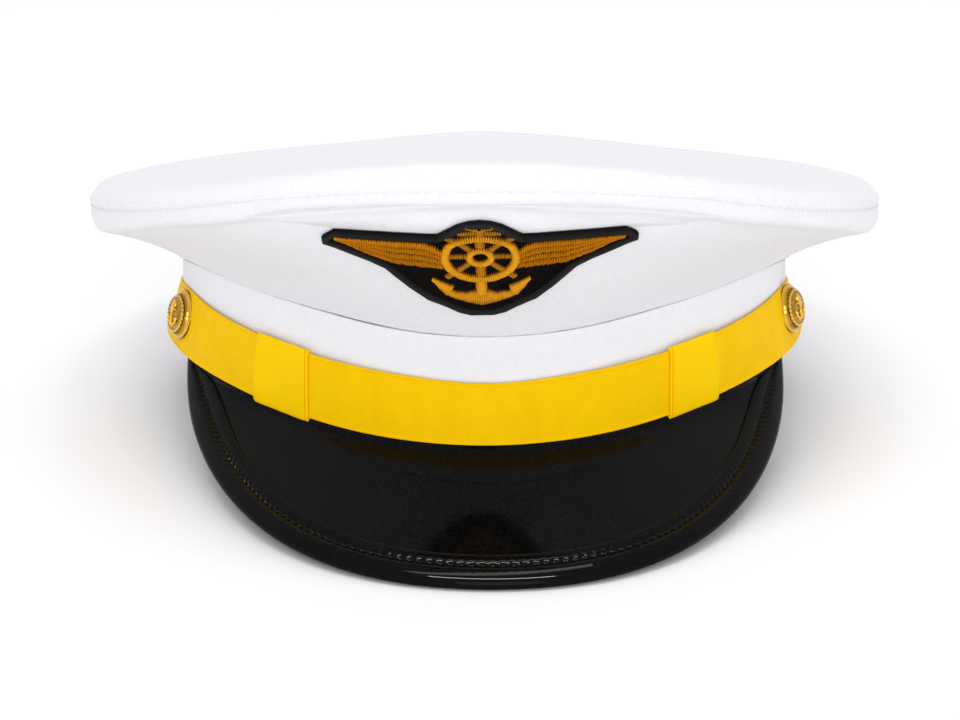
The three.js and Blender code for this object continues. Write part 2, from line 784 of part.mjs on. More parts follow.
// Turned solid about the Z axis from the radii and heights of its side
function turned(section, steps) {
  const bottom = section[0].height;
  const topRow = section[section.length - 1];
  const points = [];
  for (const angle of around(steps)) {
    for (const row of section) {
      const turn = angle * DEGREE;
      points.push(vector(row.radius * Math.cos(turn), row.radius * Math.sin(turn), row.height));
    }
  }
  const size = section.length;
  const foot = points.push(vector(0, 0, bottom)) - 1;
  const crown = points.push(vector(0, 0, topRow.crown ?? topRow.height)) - 1;
  const triangles = [];
  for (let i = 0; i < steps; i += 1) {
    const here = i * size;
    const next = ((i + 1) % steps) * size;
    for (let j = 0; j < size - 1; j += 1) {
      triangles.push([here + j, next + j, next + j + 1], [here + j, next + j + 1, here + j + 1]);
    }
    triangles.push([here, foot, next], [here + size - 1, next + size - 1, crown]);
  }
  return outward(points, triangles);
}

// Flat shape raised into a solid between two heights
function raised(outline, from, to) {
  const bottom = outline.map(([x, y]) => vector(x, y, from));
  const top = outline.map(([x, y]) => vector(x, y, to));
  return sweep([bottom, top], false);
}

// Anchor raised on the button: shank, stock, ring and a curved arm, trimmed to the dome
const BUTTON_ANCHOR = {
  shank: [[-0.35, -2.7], [0.35, -2.7], [0.35, 2.0], [-0.35, 2.0]],
  stock: [[-1.5, 1.1], [1.5, 1.1], [1.5, 1.75], [-1.5, 1.75]],
  ring: [[-0.75, 2.2], [0, 1.6], [0.75, 2.2], [0.75, 2.9], [0, 3.4], [-0.75, 2.9]],
  arm: [
    [-3.0, -0.5], [-2.6, -1.9], [-1.4, -2.9], [0, -3.3], [1.4, -2.9], [2.6, -1.9], [3.0, -0.5],
    [1.9, -1.2], [1.0, -2.1], [0, -2.4], [-1.0, -2.1], [-1.9, -1.2],
  ],
};

function buttonSolid() {
  const steps = 20;
  const grown = (by) => BUTTON_SECTION.map((row, i) => ({
    radius: row.radius + (i > 4 ? by : 0),
    height: row.height + (i > 4 ? by : 0),
    crown: BUTTON_CROWN + by,
  }));
  let solid = toManifold(turned(grown(0), steps));
  const cover = toManifold(turned(grown(RELIEF), steps));
  for (const outline of Object.values(BUTTON_ANCHOR)) {
    solid = solid.add(toManifold(raised(outline, 1.8, 5)).intersect(cover));
  }
  const rope = around(steps).map((azimuth) => {
    const turn = azimuth * DEGREE;
    return [0, 90, 180, 270].map((degrees) => {
      const radius = ROPE_RADIUS + ROPE_THICKNESS * Math.cos(degrees * DEGREE);
      const height = ROPE_HEIGHT + ROPE_THICKNESS * Math.sin(degrees * DEGREE);
      return vector(radius * Math.cos(turn), radius * Math.sin(turn), height);
    });
  });
  return solid.add(toManifold(sweep(rope, true))).add(toManifold(shankSolid(0)));
}

function shankSolid(clearance) {
  const radius = SHANK_RADIUS + clearance;
  const far = -SHANK_LENGTH - 2 * clearance;
  return turned([{ radius, height: far }, { radius, height: 0.5 }], 12);
}

// Placing of a button: its axis turned and lifted, its foot held off the strap
function buttonPlace(side) {
  const turn = BUTTON_TURN * DEGREE;
  const lift = BUTTON_LIFT * DEGREE;
  const axis = vector(
    side * Math.sin(turn) * Math.cos(lift),
    -Math.cos(turn) * Math.cos(lift),
    Math.sin(lift),
  );
  const foot = strapPoint(side * BUTTON_AZIMUTH, BUTTON_HEIGHT_SHARE, STRAP_THICKNESS)
    .addScaledVector(axis, BUTTON_STANDOFF);
  const across = vector(0, 0, 1).cross(axis).normalize();
  const up = axis.clone().cross(across);
  return new THREE.Matrix4().makeBasis(across, up, axis).setPosition(foot);
}

const MATERIALS = {
  whiteCloth: { color: '#f1f0f5', roughness: 0.9, metalness: 0 },
  yellowRibbon: { color: '#f5c006', roughness: 0.45, metalness: 0 },
  goldMetal: { color: '#d9a320', roughness: 0.28, metalness: 1 },
  blackPatent: { color: '#141414', roughness: 0.12, metalness: 0 },
  blackTwill: { color: '#1a1916', roughness: 0.95, metalness: 0 },
  goldThread: { color: '#c88414', roughness: 0.5, metalness: 0 },
};

// Named node in its material, tipped on to the resting surface
function node(name, geometry, material, place) {
  geometry.applyMatrix4(place);
  geometry.computeVertexNormals();
  const mesh = new THREE.Mesh(geometry, new THREE.MeshStandardMaterial(MATERIALS[material]));
  mesh.name = name;
  return mesh;
}

function build() {
  const binding = peakBinding();
  const tilt = restingTilt(binding);
  const tip = new THREE.Matrix4().makeRotationX(-tilt);
  const places = [-1, 1].map(buttonPlace);
  const shanks = places.map((place) => toManifold(shankSolid(GAP).applyMatrix4(place)));
  const button = (place) => fromManifold(buttonSolid()).applyMatrix4(place);
  const group = new THREE.Group();
  group.name = 'pilot_cap';
  group.add(
    node('crown_top', crownTop(), 'whiteCloth', tip),
    node('crown_side', crownSide(), 'whiteCloth', tip),
    node('band', band(tilt), 'whiteCloth', tip),
    node('strap', fromManifold(strap(shanks)), 'yellowRibbon', tip),
    node('keeper_left', keeper(-1), 'yellowRibbon', tip),
    node('keeper_right', keeper(1), 'yellowRibbon', tip),
    node('button_left', button(places[0]), 'goldMetal', tip),
    node('button_right', button(places[1]), 'goldMetal', tip),
    node('peak', peak(), 'blackPatent', tip),
    node('peak_binding', binding, 'blackPatent', tip),
    node('badge_backing', badgeBacking(), 'blackTwill', tip),
    node('badge_wing_left', badgeWing(-1), 'goldThread', tip),
    node('badge_wing_right', badgeWing(1), 'goldThread', tip),
    node('badge_wheel', badgeWheel(), 'goldThread', tip),
    node('badge_anchor', badgeAnchor(), 'goldThread', tip),
  );
  const box = new THREE.Box3().setFromObject(group);
  const middle = box.getCenter(vector(0, 0, 0));
  for (const mesh of group.children) {
    mesh.geometry.translate(-middle.x, -middle.y, -box.min.z);
  }
  return group;
}

export default build();
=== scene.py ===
# %% [markdown]
# # A peaked uniform cap
# The cap has a wide white crown, a white head band, a yellow ribbon strap, two domed
# buttons, a black patent peak and an embroidered patch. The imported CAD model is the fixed
# frame: each piece that is made here lies where its plain solid lies, with finer edges,
# seams, threads and a material of its own.

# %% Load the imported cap
import math

import bmesh
import bpy
from mathutils import Matrix, Vector, noise
from mathutils.bvhtree import BVHTree


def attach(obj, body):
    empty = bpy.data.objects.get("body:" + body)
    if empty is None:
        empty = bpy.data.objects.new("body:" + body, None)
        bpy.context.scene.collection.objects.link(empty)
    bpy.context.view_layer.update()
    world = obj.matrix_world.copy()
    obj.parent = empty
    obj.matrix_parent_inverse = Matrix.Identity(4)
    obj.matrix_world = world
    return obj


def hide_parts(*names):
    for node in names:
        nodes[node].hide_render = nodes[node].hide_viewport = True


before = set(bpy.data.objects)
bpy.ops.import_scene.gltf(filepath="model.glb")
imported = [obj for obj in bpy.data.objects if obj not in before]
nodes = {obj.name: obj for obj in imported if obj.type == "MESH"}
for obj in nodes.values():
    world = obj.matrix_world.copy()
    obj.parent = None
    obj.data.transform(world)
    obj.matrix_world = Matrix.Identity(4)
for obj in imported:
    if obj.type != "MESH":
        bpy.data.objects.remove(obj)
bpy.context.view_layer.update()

# %% [markdown]
# The photograph looks at the cap from straight in front, about a metre away and a little
# from above. A long lens from that distance keeps the crown from looking too wide against
# the peak. The camera comes first, because everything else is judged through it.

# %% Camera
CAMERA_PLACE = (-0.0013, -1.0208, 0.3839)
CAMERA_DIP = math.radians(19.96)
LENS = 139.13
SENSOR = 36.0

camera_data = bpy.data.cameras.new("camera")
camera_data.lens = LENS
camera_data.sensor_width = SENSOR
camera_data.clip_start = 0.05
camera = bpy.data.objects.new("camera", camera_data)
camera.location = CAMERA_PLACE
camera.rotation_euler = (math.pi / 2 - CAMERA_DIP, 0, 0)
bpy.context.scene.collection.objects.link(camera)
bpy.context.scene.camera = camera
print("camera at", CAMERA_PLACE, "with a", LENS, "mm lens")

# %% [markdown]
# The cap lies on a plain pale table in soft studio light. A bright even sky does most of
# the work, because white cloth shows its shape by small differences. Softboxes in front
# and overhead lift the roll and the top. One narrow strip is seen only in reflections: it
# gives the patent peak its streak, and the metal and threads their glints.

# %% Floor
FLOOR_HALF = 6.0


def show(obj):
    bpy.context.scene.collection.objects.link(obj)
    return obj


floor_mesh = bpy.data.meshes.new("floor")
floor_bm = bmesh.new()
bmesh.ops.create_grid(floor_bm, x_segments=2, y_segments=2, size=FLOOR_HALF)
floor_bm.to_mesh(floor_mesh)
floor_bm.free()
floor = show(bpy.data.objects.new("floor", floor_mesh))
print("floor", 2 * FLOOR_HALF, "m wide")

# %% Sky and softboxes
SKY_STRENGTH = 0.82
AIM = Vector((0, 0, 0.05))
SOFTBOXES = [
    {"name": "low_box", "place": (0.15, -2.3, 0.15), "wide": 1.3, "high": 0.4, "power": 9},
    {"name": "front_box", "place": (0.1, -2.2, 1.0), "wide": 1.2, "high": 0.7, "power": 6},
    {"name": "strip_box", "place": (0.02, -0.05, 2.3), "wide": 1.6, "high": 0.25, "power": 12},
]
GLINT_BOX = {"name": "glint_box", "place": (0.02, -0.85, 2.15), "wide": 1.3, "high": 0.14,
             "power": 60}

world = bpy.data.worlds.new("studio")
world.use_nodes = True
world.node_tree.nodes["Background"].inputs["Color"].default_value = (0.99, 0.99, 1, 1)
world.node_tree.nodes["Background"].inputs["Strength"].default_value = SKY_STRENGTH
bpy.context.scene.world = world
bpy.context.scene.view_settings.view_transform = "Standard"


def softbox(name, place, wide, high, power):
    light_data = bpy.data.lights.new(name, "AREA")
    light_data.shape = "RECTANGLE"
    light_data.size = wide
    light_data.size_y = high
    light_data.energy = power
    light = show(bpy.data.objects.new(name, light_data))
    light.location = place
    way = AIM - Vector(place)
    light.rotation_euler = way.to_track_quat("-Z", "Y").to_euler()
    return light


for box in SOFTBOXES:
    softbox(**box)
softbox(**GLINT_BOX).visible_diffuse = False
print(len(SOFTBOXES), "softboxes and one strip for glints")

# %% [markdown]
# Each finish is a small network of nodes round one Principled shader. Short helpers keep
# those networks readable: they start a material, add a node with its values, join two
# sockets, blend two patterns, tint the surface, lay bumps over one another, and say where
# a pattern reads its place. Numbers that hold all over go straight on the shader.

# %% Material helpers


def shader_of(material):
    return material.node_tree.nodes["Principled BSDF"]


def finish_of(name, colour, roughness, values=()):
    material = bpy.data.materials.new(name)
    material.use_nodes = True
    shader = shader_of(material)
    shader.inputs["Base Color"].default_value = (*colour, 1)
    shader.inputs["Roughness"].default_value = roughness
    for socket, value in dict(values).items():
        shader.inputs[socket].default_value = value
    return material


def add(material, kind, values=(), **settings):
    made = material.node_tree.nodes.new("ShaderNode" + kind)
    for name, value in settings.items():
        setattr(made, name, value)
    for socket, value in dict(values).items():
        made.inputs[socket].default_value = value
    return made


def tie(material, source, output, target, socket):
    material.node_tree.links.new(source.outputs[output], target.inputs[socket])


def blended(material, share, first, second):
    """Blends two patterns; the share is the second one's."""
    blend = add(material, "Mix", {"Factor": share}, data_type="FLOAT")
    tie(material, first, "Fac", blend, "A")
    tie(material, second, "Fac", blend, "B")
    return blend


def coloured(material, source, output, low, high, start=0.0, end=1.0):
    """Tints the surface from one colour to another as a texture goes from start to end."""
    ramp = add(material, "ValToRGB")
    ramp.color_ramp.elements[0].position = start
    ramp.color_ramp.elements[0].color = (*low, 1)
    ramp.color_ramp.elements[1].position = end
    ramp.color_ramp.elements[1].color = (*high, 1)
    tie(material, source, output, ramp, "Fac")
    tie(material, ramp, "Color", shader_of(material), "Base Color")


def bumped(material, layers):
    """Adds bumps one over another; each layer is a texture, its output and its depth."""
    below = None
    for source, output, depth in layers:
        bump = add(material, "Bump", {"Strength": 1.0, "Distance": depth})
        tie(material, source, output, bump, "Height")
        if below:
            tie(material, below, "Normal", bump, "Normal")
        below = bump
    tie(material, below, "Normal", shader_of(material), "Normal")


def placed(material, source, *patterns, turn=0.0):
    """Lays patterns by the piece's own map, or by the object's metres."""
    where = add(material, "TexCoord")
    mapping = add(material, "Mapping", {"Rotation": (0, 0, turn)})
    tie(material, where, source, mapping, "Vector")
    for pattern in patterns:
        tie(material, mapping, "Vector", pattern, "Vector")


print("material helpers ready")

# %% [markdown]
# The crown is a white brushed twill. Close to, slanting ribs about two thirds of a
# millimetre apart run over it under a short soft nap. Bands of a Wave texture make the
# ribs, read from a map that follows the cloth, and two noises add the nap and the faint
# unevenness of the weave. Sheen gives the pale bloom of a napped cloth.

# %% White twill
TWILL_RIB = 0.00066
WAVE_PERIOD = math.tau / 20  # what one unit of a Wave texture's scale holds


def twill(name, low, high, roughness, rib, rib_depth, nap_depth, turn, sheen, gloss=0.15):
    cloth = finish_of(name, high, roughness, {"Sheen Weight": sheen, "Sheen Roughness": 0.6,
                                              "Specular IOR Level": gloss})
    ribs = add(cloth, "TexWave", {"Scale": WAVE_PERIOD / rib, "Distortion": 1.2, "Detail": 2,
                                  "Detail Scale": 0.6})
    nap = add(cloth, "TexNoise", {"Scale": 1900, "Detail": 3, "Roughness": 0.7})
    shade = add(cloth, "TexNoise", {"Scale": 380, "Detail": 4, "Roughness": 0.75})
    placed(cloth, "UV", ribs, nap, shade, turn=turn)
    coloured(cloth, blended(cloth, 0.25, shade, ribs), "Result", low, high, 0.2, 0.62)
    bumped(cloth, [(ribs, "Fac", rib_depth), (nap, "Fac", nap_depth)])
    return cloth


white_twill = twill("white twill", (0.80, 0.80, 0.835), (0.875, 0.873, 0.905), 0.85, TWILL_RIB,
                    0.00002, 0.00009, math.radians(52), 0.1)
print("white twill ribs every", TWILL_RIB * 1000, "mm")

# %% [markdown]
# The strap is a satin ribbon: deep yellow, softly shiny, with fine ribs across its width
# and a tighter woven edge. The ribs are a fine wave along the ribbon. A second, broad
# noise varies the yellow a little and raises it by a hair, as on a ribbon ironed flat.

# %% Satin ribbon
RIBBON_RIB = 0.00055


def satin(name, low, high):
    ribbon = finish_of(name, high, 0.5, {"Specular IOR Level": 0.03})
    ribs = add(ribbon, "TexWave", {"Scale": WAVE_PERIOD / RIBBON_RIB, "Distortion": 0.4,
                                   "Detail": 1})
    weave = add(ribbon, "TexNoise", {"Scale": 120, "Detail": 4, "Roughness": 0.7})
    placed(ribbon, "UV", ribs, weave)
    coloured(ribbon, weave, "Fac", low, high, 0.3, 0.7)
    bumped(ribbon, [(ribs, "Fac", 0.000008), (weave, "Fac", 0.00006)])
    return ribbon


yellow_satin = satin("yellow satin", (0.93, 0.54, 0.0002), (0.99, 0.60, 0.0004))
# The keepers get a copy of the same satin painted lighter, for the light that falls more fully on
# them.
keeper_satin_painted_lighter = satin("keeper satin painted lighter", (1.0, 0.60, 0.0002), (1.0, 0.65, 0.0004))
print("satin ribs every", RIBBON_RIB * 1000, "mm")

# %% [markdown]
# Patent leather is a black sheet under a thick clear varnish. Almost all that is seen on
# it is reflection, so the base is nearly black, the varnish is a clear coat, and a shallow
# broad swell with a finer ripple on it makes the reflections wander.

# %% Patent leather
RIPPLE_SHARE = 0.03  # the ripple's depth, as a share of the swell's


def patent(name, swell_depth, specular, coat):
    leather = finish_of(name, (0.0025, 0.0025, 0.0026), 0.14,
                        {"Specular IOR Level": specular, "Coat Weight": coat,
                         "Coat Roughness": 0.02, "Coat IOR": 1.4})
    swell = add(leather, "TexNoise", {"Scale": 45, "Detail": 1, "Roughness": 0.4})
    ripple = add(leather, "TexNoise", {"Scale": 380, "Detail": 2, "Roughness": 0.5})
    grain = add(leather, "TexNoise", {"Scale": 900, "Detail": 2})
    placed(leather, "Object", swell, ripple, grain)
    coloured(leather, grain, "Fac", (0.002, 0.002, 0.002), (0.0035, 0.0035, 0.0035), 0.35, 0.65)
    bumped(leather, [(swell, "Fac", swell_depth), (ripple, "Fac", swell_depth * RIPPLE_SHARE)])
    return leather


black_patent = patent("black patent", 0.0004, 0.03, 0.10)
strip_patent = patent("patent strip", 0.0002, 0.005, 0.18)
print("patent leather ready")

# %% [markdown]
# The underside of the peak is a matt black lining cloth, the patch is a black twill, and
# the threads are black, white and two golds. A thread shines along its length, so its
# roughness is low, and a fine noise breaks the colour from strand to strand. A value named
# `raised`, stored on each thread, paints shade on its sides and roots, where they sink
# into the cloth, and paints its crown lighter, a little more where it faces up.

# %% Black cloth and threads
black_twill = twill("black twill", (0.0008, 0.0008, 0.0008), (0.010, 0.009, 0.008), 0.8, 0.0009,
                    0.00030, 0.00012, math.radians(50), 0.0, 0.03)
peak_lining = twill("peak lining", (0.004, 0.004, 0.004), (0.010, 0.010, 0.010), 0.95, 0.0006,
                    0.00005, 0.00005, math.radians(45), 0.0)


def thread(name, low, high, roughness, gloss):
    yarn = finish_of(name, high, roughness, {"Specular IOR Level": gloss})
    strand = add(yarn, "TexNoise", {"Scale": 1600, "Detail": 2, "Roughness": 0.6})
    # Painted shade and light: this stored value darkens each thread's roots and sides and lightens
    # its crown.
    raised = add(yarn, "Attribute", attribute_name="raised")
    placed(yarn, "Object", strand)
    coloured(yarn, blended(yarn, 0.75, strand, raised), "Result", low, high, 0.25, 0.85)
    bumped(yarn, [(strand, "Fac", 0.00003)])
    return yarn


# Each thread's low colour is the painted shade of its roots and sides, and its high colour is its
# lit crown.
white_thread = thread("white thread", (0.70, 0.70, 0.73), (0.86, 0.86, 0.89), 0.6, 0.2)
black_thread = thread("black thread", (0.001, 0.001, 0.001), (0.010, 0.010, 0.010), 0.25, 0.22)
border_thread = thread("border thread", (0.001, 0.001, 0.001), (0.022, 0.021, 0.020), 0.5, 0.15)
wing_gold = thread("wing gold thread", (0.10, 0.022, 0.0002), (0.66, 0.235, 0.001), 0.5, 0.06)
wheel_gold = thread("wheel gold thread", (0.20, 0.048, 0.0003), (1.0, 0.47, 0.012), 0.42, 0.10)
print("threads ready")

# %% [markdown]
# The buttons are polished gold-coloured metal. A value stored on each point paints shade
# into the hollows of the stamping and a dark shadow line round the foot, and paints the
# tops lighter: painted shade and highlight, standing in for the dark reflections that a
# white room doesn't give. A noise adds a faint cloud.

# %% Gold metal
gold_metal = finish_of("gold metal", (0.90, 0.58, 0.10), 0.12, {"Metallic": 1.0})
gold_cloud = add(gold_metal, "TexNoise", {"Scale": 420, "Detail": 3})
# Painted shade and highlight stored on the buttons' points: the dark end of the ramp is painted
# shade and the bright end is painted highlight.
gold_painted_shading = add(gold_metal, "Attribute", attribute_name="painted_shading")
gold_cloud_and_shading = blended(gold_metal, 0.7, gold_cloud, gold_painted_shading)
placed(gold_metal, "Object", gold_cloud)
coloured(gold_metal, gold_cloud_and_shading, "Result", (0.05, 0.014, 0.001), (1.0, 0.58, 0.07), 0.2, 0.75)
bumped(gold_metal, [(gold_cloud, "Fac", 0.00002)])
print("gold metal ready")

# %% [markdown]
# The table is pale and matt, with a broad noise so faint that it only keeps the floor from
# looking like paper. It throws soft light back under the cap.

# %% Floor finish
floor_finish = finish_of("pale table", (0.9, 0.9, 0.9), 0.9, {"Specular IOR Level": 0.0})
floor_grain = add(floor_finish, "TexNoise", {"Scale": 30, "Detail": 3})
placed(floor_finish, "Object", floor_grain)
coloured(floor_finish, floor_grain, "Fac", (0.965, 0.965, 0.97), (0.975, 0.975, 0.98))
floor.data.materials.append(floor_finish)
print("pale table ready")

# %% [markdown]
# A cap is drawn square to its head band, but it lies tipped back, on the rear of the band
# and the edge of its peak. So every rule below works in the cap's own millimetres, with
# the band level, and `settled` then tips the point on to the table and makes it metres.

# %% The cap's own frame
MM = 0.001
TILT = math.radians(4.9604)
BAND_HALF_WIDTH = 88.8
BAND_HALF_LENGTH = 104.2
BAND_DRAWN_IN = 0.048
REAR_ON_TABLE = 118.63
SIDES = ((-1, "left"), (1, "right"))

to_table = (
    Matrix.Translation((0, REAR_ON_TABLE * MM, 0))
    @ Matrix.Rotation(-TILT, 4, "X")
    @ Matrix.Translation((0, -BAND_HALF_LENGTH * MM, 0))
)
from_table = to_table.inverted()


def settled(x, y, z):
    return to_table @ Vector((x * MM, y * MM, z * MM))


def mix(low, high, share):
    return low + (high - low) * share


def named_rows(columns, *rows):
    """A short table: rows of values under named columns."""
    return [dict(zip(columns.split(), row)) for row in rows]


def band_plan(azimuth, out):
    """Plan of the head band: an oval, drawn in a little on its front diagonals."""
    angle = math.radians(azimuth)
    drawn_in = BAND_DRAWN_IN * math.sin(2 * angle) ** 2 if math.cos(angle) > 0 else 0
    return (
        (BAND_HALF_WIDTH + out) * math.sin(angle) * (1 - drawn_in),
        -(BAND_HALF_LENGTH + out) * math.cos(angle) * (1 - drawn_in),
    )


def reading(table, name, place):
    """Smooth reading of one column of a table, the same on both sides of the cap."""
    place = abs(place)
    if place >= table[-1]["azimuth"]:
        return table[-1][name]

    def slope(row):
        if row in (0, len(table) - 1):
            return 0
        run = table[row + 1]["azimuth"] - table[row - 1]["azimuth"]
        return (table[row + 1][name] - table[row - 1][name]) / run

    row = next(i for i, entry in enumerate(table) if entry["azimuth"] > place) - 1
    width = table[row + 1]["azimuth"] - table[row]["azimuth"]
    t = (place - table[row]["azimuth"]) / width
    return (
        (2 * t**3 - 3 * t**2 + 1) * table[row][name]
        + (t**3 - 2 * t**2 + t) * width * slope(row)
        + (3 * t**2 - 2 * t**3) * table[row + 1][name]
        + (t**3 - t**2) * width * slope(row + 1)
    )


print("rear of the band on the table at", [round(c, 4) for c in settled(0, BAND_HALF_LENGTH, 0)])

# %% [markdown]
# Two ways of making a mesh serve most pieces. A soft solid that is already right in the
# CAD model is copied, its loose triangles are merged into squares, its sharp edges get a
# small bevel, and a Subdivision Surface rounds it. A ribbon or strip starts as a flat grid
# of squares, and each corner of the grid is moved to its place by a rule.

# %% Mesh helpers
SHARP = math.radians(50)


def squares_of(node):
    """A merged copy of a CAD node's mesh, with its triangles joined into squares."""
    bm = bmesh.new()
    bm.from_mesh(nodes[node].data)
    bmesh.ops.remove_doubles(bm, verts=bm.verts, dist=2e-6)
    bmesh.ops.join_triangles(
        bm, faces=bm.faces, angle_face_threshold=math.radians(60),
        angle_shape_threshold=math.radians(75),
    )
    return bm


def sharp_edges(bm):
    return [e for e in bm.edges if len(e.link_faces) == 2 and e.calc_face_angle(0) > SHARP]


def softened(bm, offset, levels):
    """Bevels the sharp edges and applies a Subdivision Surface, so that the fine mesh can
    be worked on."""
    bmesh.ops.bevel(bm, geom=sharp_edges(bm), offset=offset, segments=2, affect="EDGES",
                    profile=0.5, material=-1)
    return subdivided(bm, levels)


def subdivided(bm, levels):
    mesh = bpy.data.meshes.new("blank")
    bm.to_mesh(mesh)
    blank = show(bpy.data.objects.new("blank", mesh))
    surface = blank.modifiers.new("round", "SUBSURF")
    surface.levels = surface.render_levels = levels
    graph = bpy.context.evaluated_depsgraph_get()
    fine = bpy.data.meshes.new_from_object(blank.evaluated_get(graph))
    bm.clear()
    bm.from_mesh(fine)
    bpy.data.objects.remove(blank)
    bpy.data.meshes.remove(mesh)
    bpy.data.meshes.remove(fine)
    return bm


def grid_piece(columns, rows, rule, length, width):
    """A flat grid whose corners go where the rule of (along, across) says, 0 to 1 each."""
    bm = bmesh.new()
    uv = bm.loops.layers.uv.new("UVMap")
    bmesh.ops.create_grid(bm, x_segments=columns, y_segments=rows, size=0.5, calc_uvs=True)
    for face in bm.faces:
        for loop in face.loops:
            loop[uv].uv = (loop[uv].uv.x * length * MM, loop[uv].uv.y * width * MM)
    for vert in bm.verts:
        vert.co = rule(vert.co.x + 0.5, vert.co.y + 0.5)
    bmesh.ops.remove_doubles(bm, verts=bm.verts, dist=1e-6)
    return bm


def row_at(section, across):
    """The row of a closed section that lies a share of the way round it."""
    return section[round(across * len(section)) % len(section)]


def close_ends(bm):
    bmesh.ops.holes_fill(bm, edges=[e for e in bm.edges if e.is_boundary], sides=0)
    return bm


def piece(name, bm, materials, replaces=(), levels=0, recalculate=True):
    """Makes the finished object, rides it on the cap and hides the plain solids it replaces."""
    if recalculate:
        bmesh.ops.recalc_face_normals(bm, faces=bm.faces)
    for face in bm.faces:
        face.smooth = True
    mesh = bpy.data.meshes.new(name)
    bm.to_mesh(mesh)
    bm.free()
    for material in materials:
        mesh.materials.append(material)
    made = show(bpy.data.objects.new(name, mesh))
    if levels:
        surface = made.modifiers.new("round", "SUBSURF")
        surface.levels = surface.render_levels = levels
    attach(made, "root")
    if replaces:
        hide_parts(*replaces)
    print(name, len(mesh.polygons), "faces,", levels, "levels")


print("mesh helpers ready")

# %% [markdown]
# Threads are laid as curves, because a stitch is a short length of round thread. All the
# stitches of one motif are splines of one curve, each thinner at its ends where it dives
# into the cloth, and the curve becomes a mesh before it joins the cap.

# %% Thread helper


def thread_piece(name, stitches, radius, material, under, reach, replaces=()):
    """Lays threads; `raised` goes from 0 to 1 over the reach of heights above the cloth, as
    painted shade low down and painted light high up.
    """
    curve = bpy.data.curves.new(name, "CURVE")
    curve.dimensions = "3D"
    curve.bevel_depth = radius * MM
    curve.bevel_resolution = 1
    curve.use_fill_caps = True
    for stitch in stitches:
        spline = curve.splines.new("POLY")
        spline.points.add(len(stitch) - 1)
        for point, (place, share) in zip(spline.points, stitch):
            point.co = (*place, 1)
            point.radius = share
    line = show(bpy.data.objects.new("line", curve))
    graph = bpy.context.evaluated_depsgraph_get()
    mesh = bpy.data.meshes.new_from_object(line.evaluated_get(graph))
    bpy.data.objects.remove(line)
    bm = bmesh.new()
    bm.from_mesh(mesh)
    bpy.data.meshes.remove(mesh)
    raised = bm.verts.layers.float.new("raised")
    for vert in bm.verts:
        height = under.find_nearest(vert.co)[3] / MM
        # Painted light from above: the faces of a thread that look up are painted a little
        # lighter.
        facing = 0.8 + 0.2 * vert.normal.z
        vert[raised] = min(1, max(0, (height - reach[0]) / (reach[1] - reach[0]))) * facing
    piece(name, bm, [material], replaces, recalculate=False)


print("thread helper ready")

# %% [markdown]
# The crown side is one piece of twill that flares from the band and rolls over a stiffened
# edge to the seam. Its solid has the right form, so a softened copy is the start. The
# copy then gets what hands and thread do to cloth: a sewn line under the seam that draws
# the cloth in, small puckers between the stitches, a long valley under the roll with short
# folds beside the patch, and a slight unevenness all over. All of this is measured from
# the seam, so the seam's ring is found first.

# %% Rings of the crown


def rings_of(bm):
    """The closed rings that the sharp edges make, each as a list of points."""
    left = {vert for edge in sharp_edges(bm) for vert in edge.verts}
    rings = []
    while left:
        ring, front = [], [left.pop()]
        while front:
            vert = front.pop()
            ring.append(vert.co.copy())
            for edge in vert.link_edges:
                other = edge.other_vert(vert)
                if other in left and edge.calc_face_angle(0) > SHARP:
                    left.discard(other)
                    front.append(other)
        rings.append(ring)
    return rings


def azimuth_of(point):
    return math.atan2(point.x, -point.y)


def reader_of(ring):
    """A ring of points, read smoothly at any azimuth."""
    ring = sorted(ring, key=azimuth_of)
    count = len(ring)
    turns = [azimuth_of(point) for point in ring]

    def read(turn):
        turn = (turn + math.pi) % math.tau - math.pi
        index = next((i for i, at in enumerate(turns) if at > turn), 0) - 1
        start = turns[index] if index >= 0 else turns[-1] - math.tau
        end = turns[(index + 1) % count]
        if index == -1 and turn > turns[-1]:
            start, end = turns[-1], turns[0] + math.tau
        t = (turn - start) / (end - start)
        a, b, c, d = (ring[(index + step) % count] for step in (-1, 0, 1, 2))
        return 0.5 * (
            2 * b + (c - a) * t + (2 * a - 5 * b + 4 * c - d) * t * t
            + (3 * b - a - 3 * c + d) * t**3
        )

    return read


side_bm = squares_of("crown_side")
side_rings = rings_of(side_bm)


def widest(rings):
    def reach(ring):
        return sum(point.xy.length for point in ring) / len(ring)

    return reader_of(max(rings, key=reach))


seam_at = widest(side_rings)
print("rings on the crown side:", [len(ring) for ring in side_rings])

# %% Folds and sewing of the cloth
CROWN_RADIUS = 118
STITCH_LENGTH = 2.7
SEAM_STITCH_DROP = 1.3
FOLDS = named_rows(
    "x z slant length width height",
    (-46, 74.0, 4, 13, 2.0, 0.7),
    (-50, 70.5, 6, 11, 1.8, -0.6),
    (-30, 73.5, 3, 10, 1.8, -0.5),
    (28, 75.0, -4, 12, 1.8, -0.6),
    (40, 73.5, -8, 10, 1.7, 0.6),
    (46, 69.0, -14, 9, 1.5, -0.5),
    (0, 71.5, 0, 80, 4.5, -2.8),
)


def bell(value):
    return math.exp(-value * value)


def fold_height(x, z):
    total = 0
    for fold in FOLDS:
        slant = math.radians(fold["slant"])
        run, rise = x - fold["x"], z - fold["z"]
        along = run * math.cos(slant) + rise * math.sin(slant)
        across = rise * math.cos(slant) - run * math.sin(slant)
        total += fold["height"] * bell(along / fold["length"]) * bell(across / fold["width"])
    return total


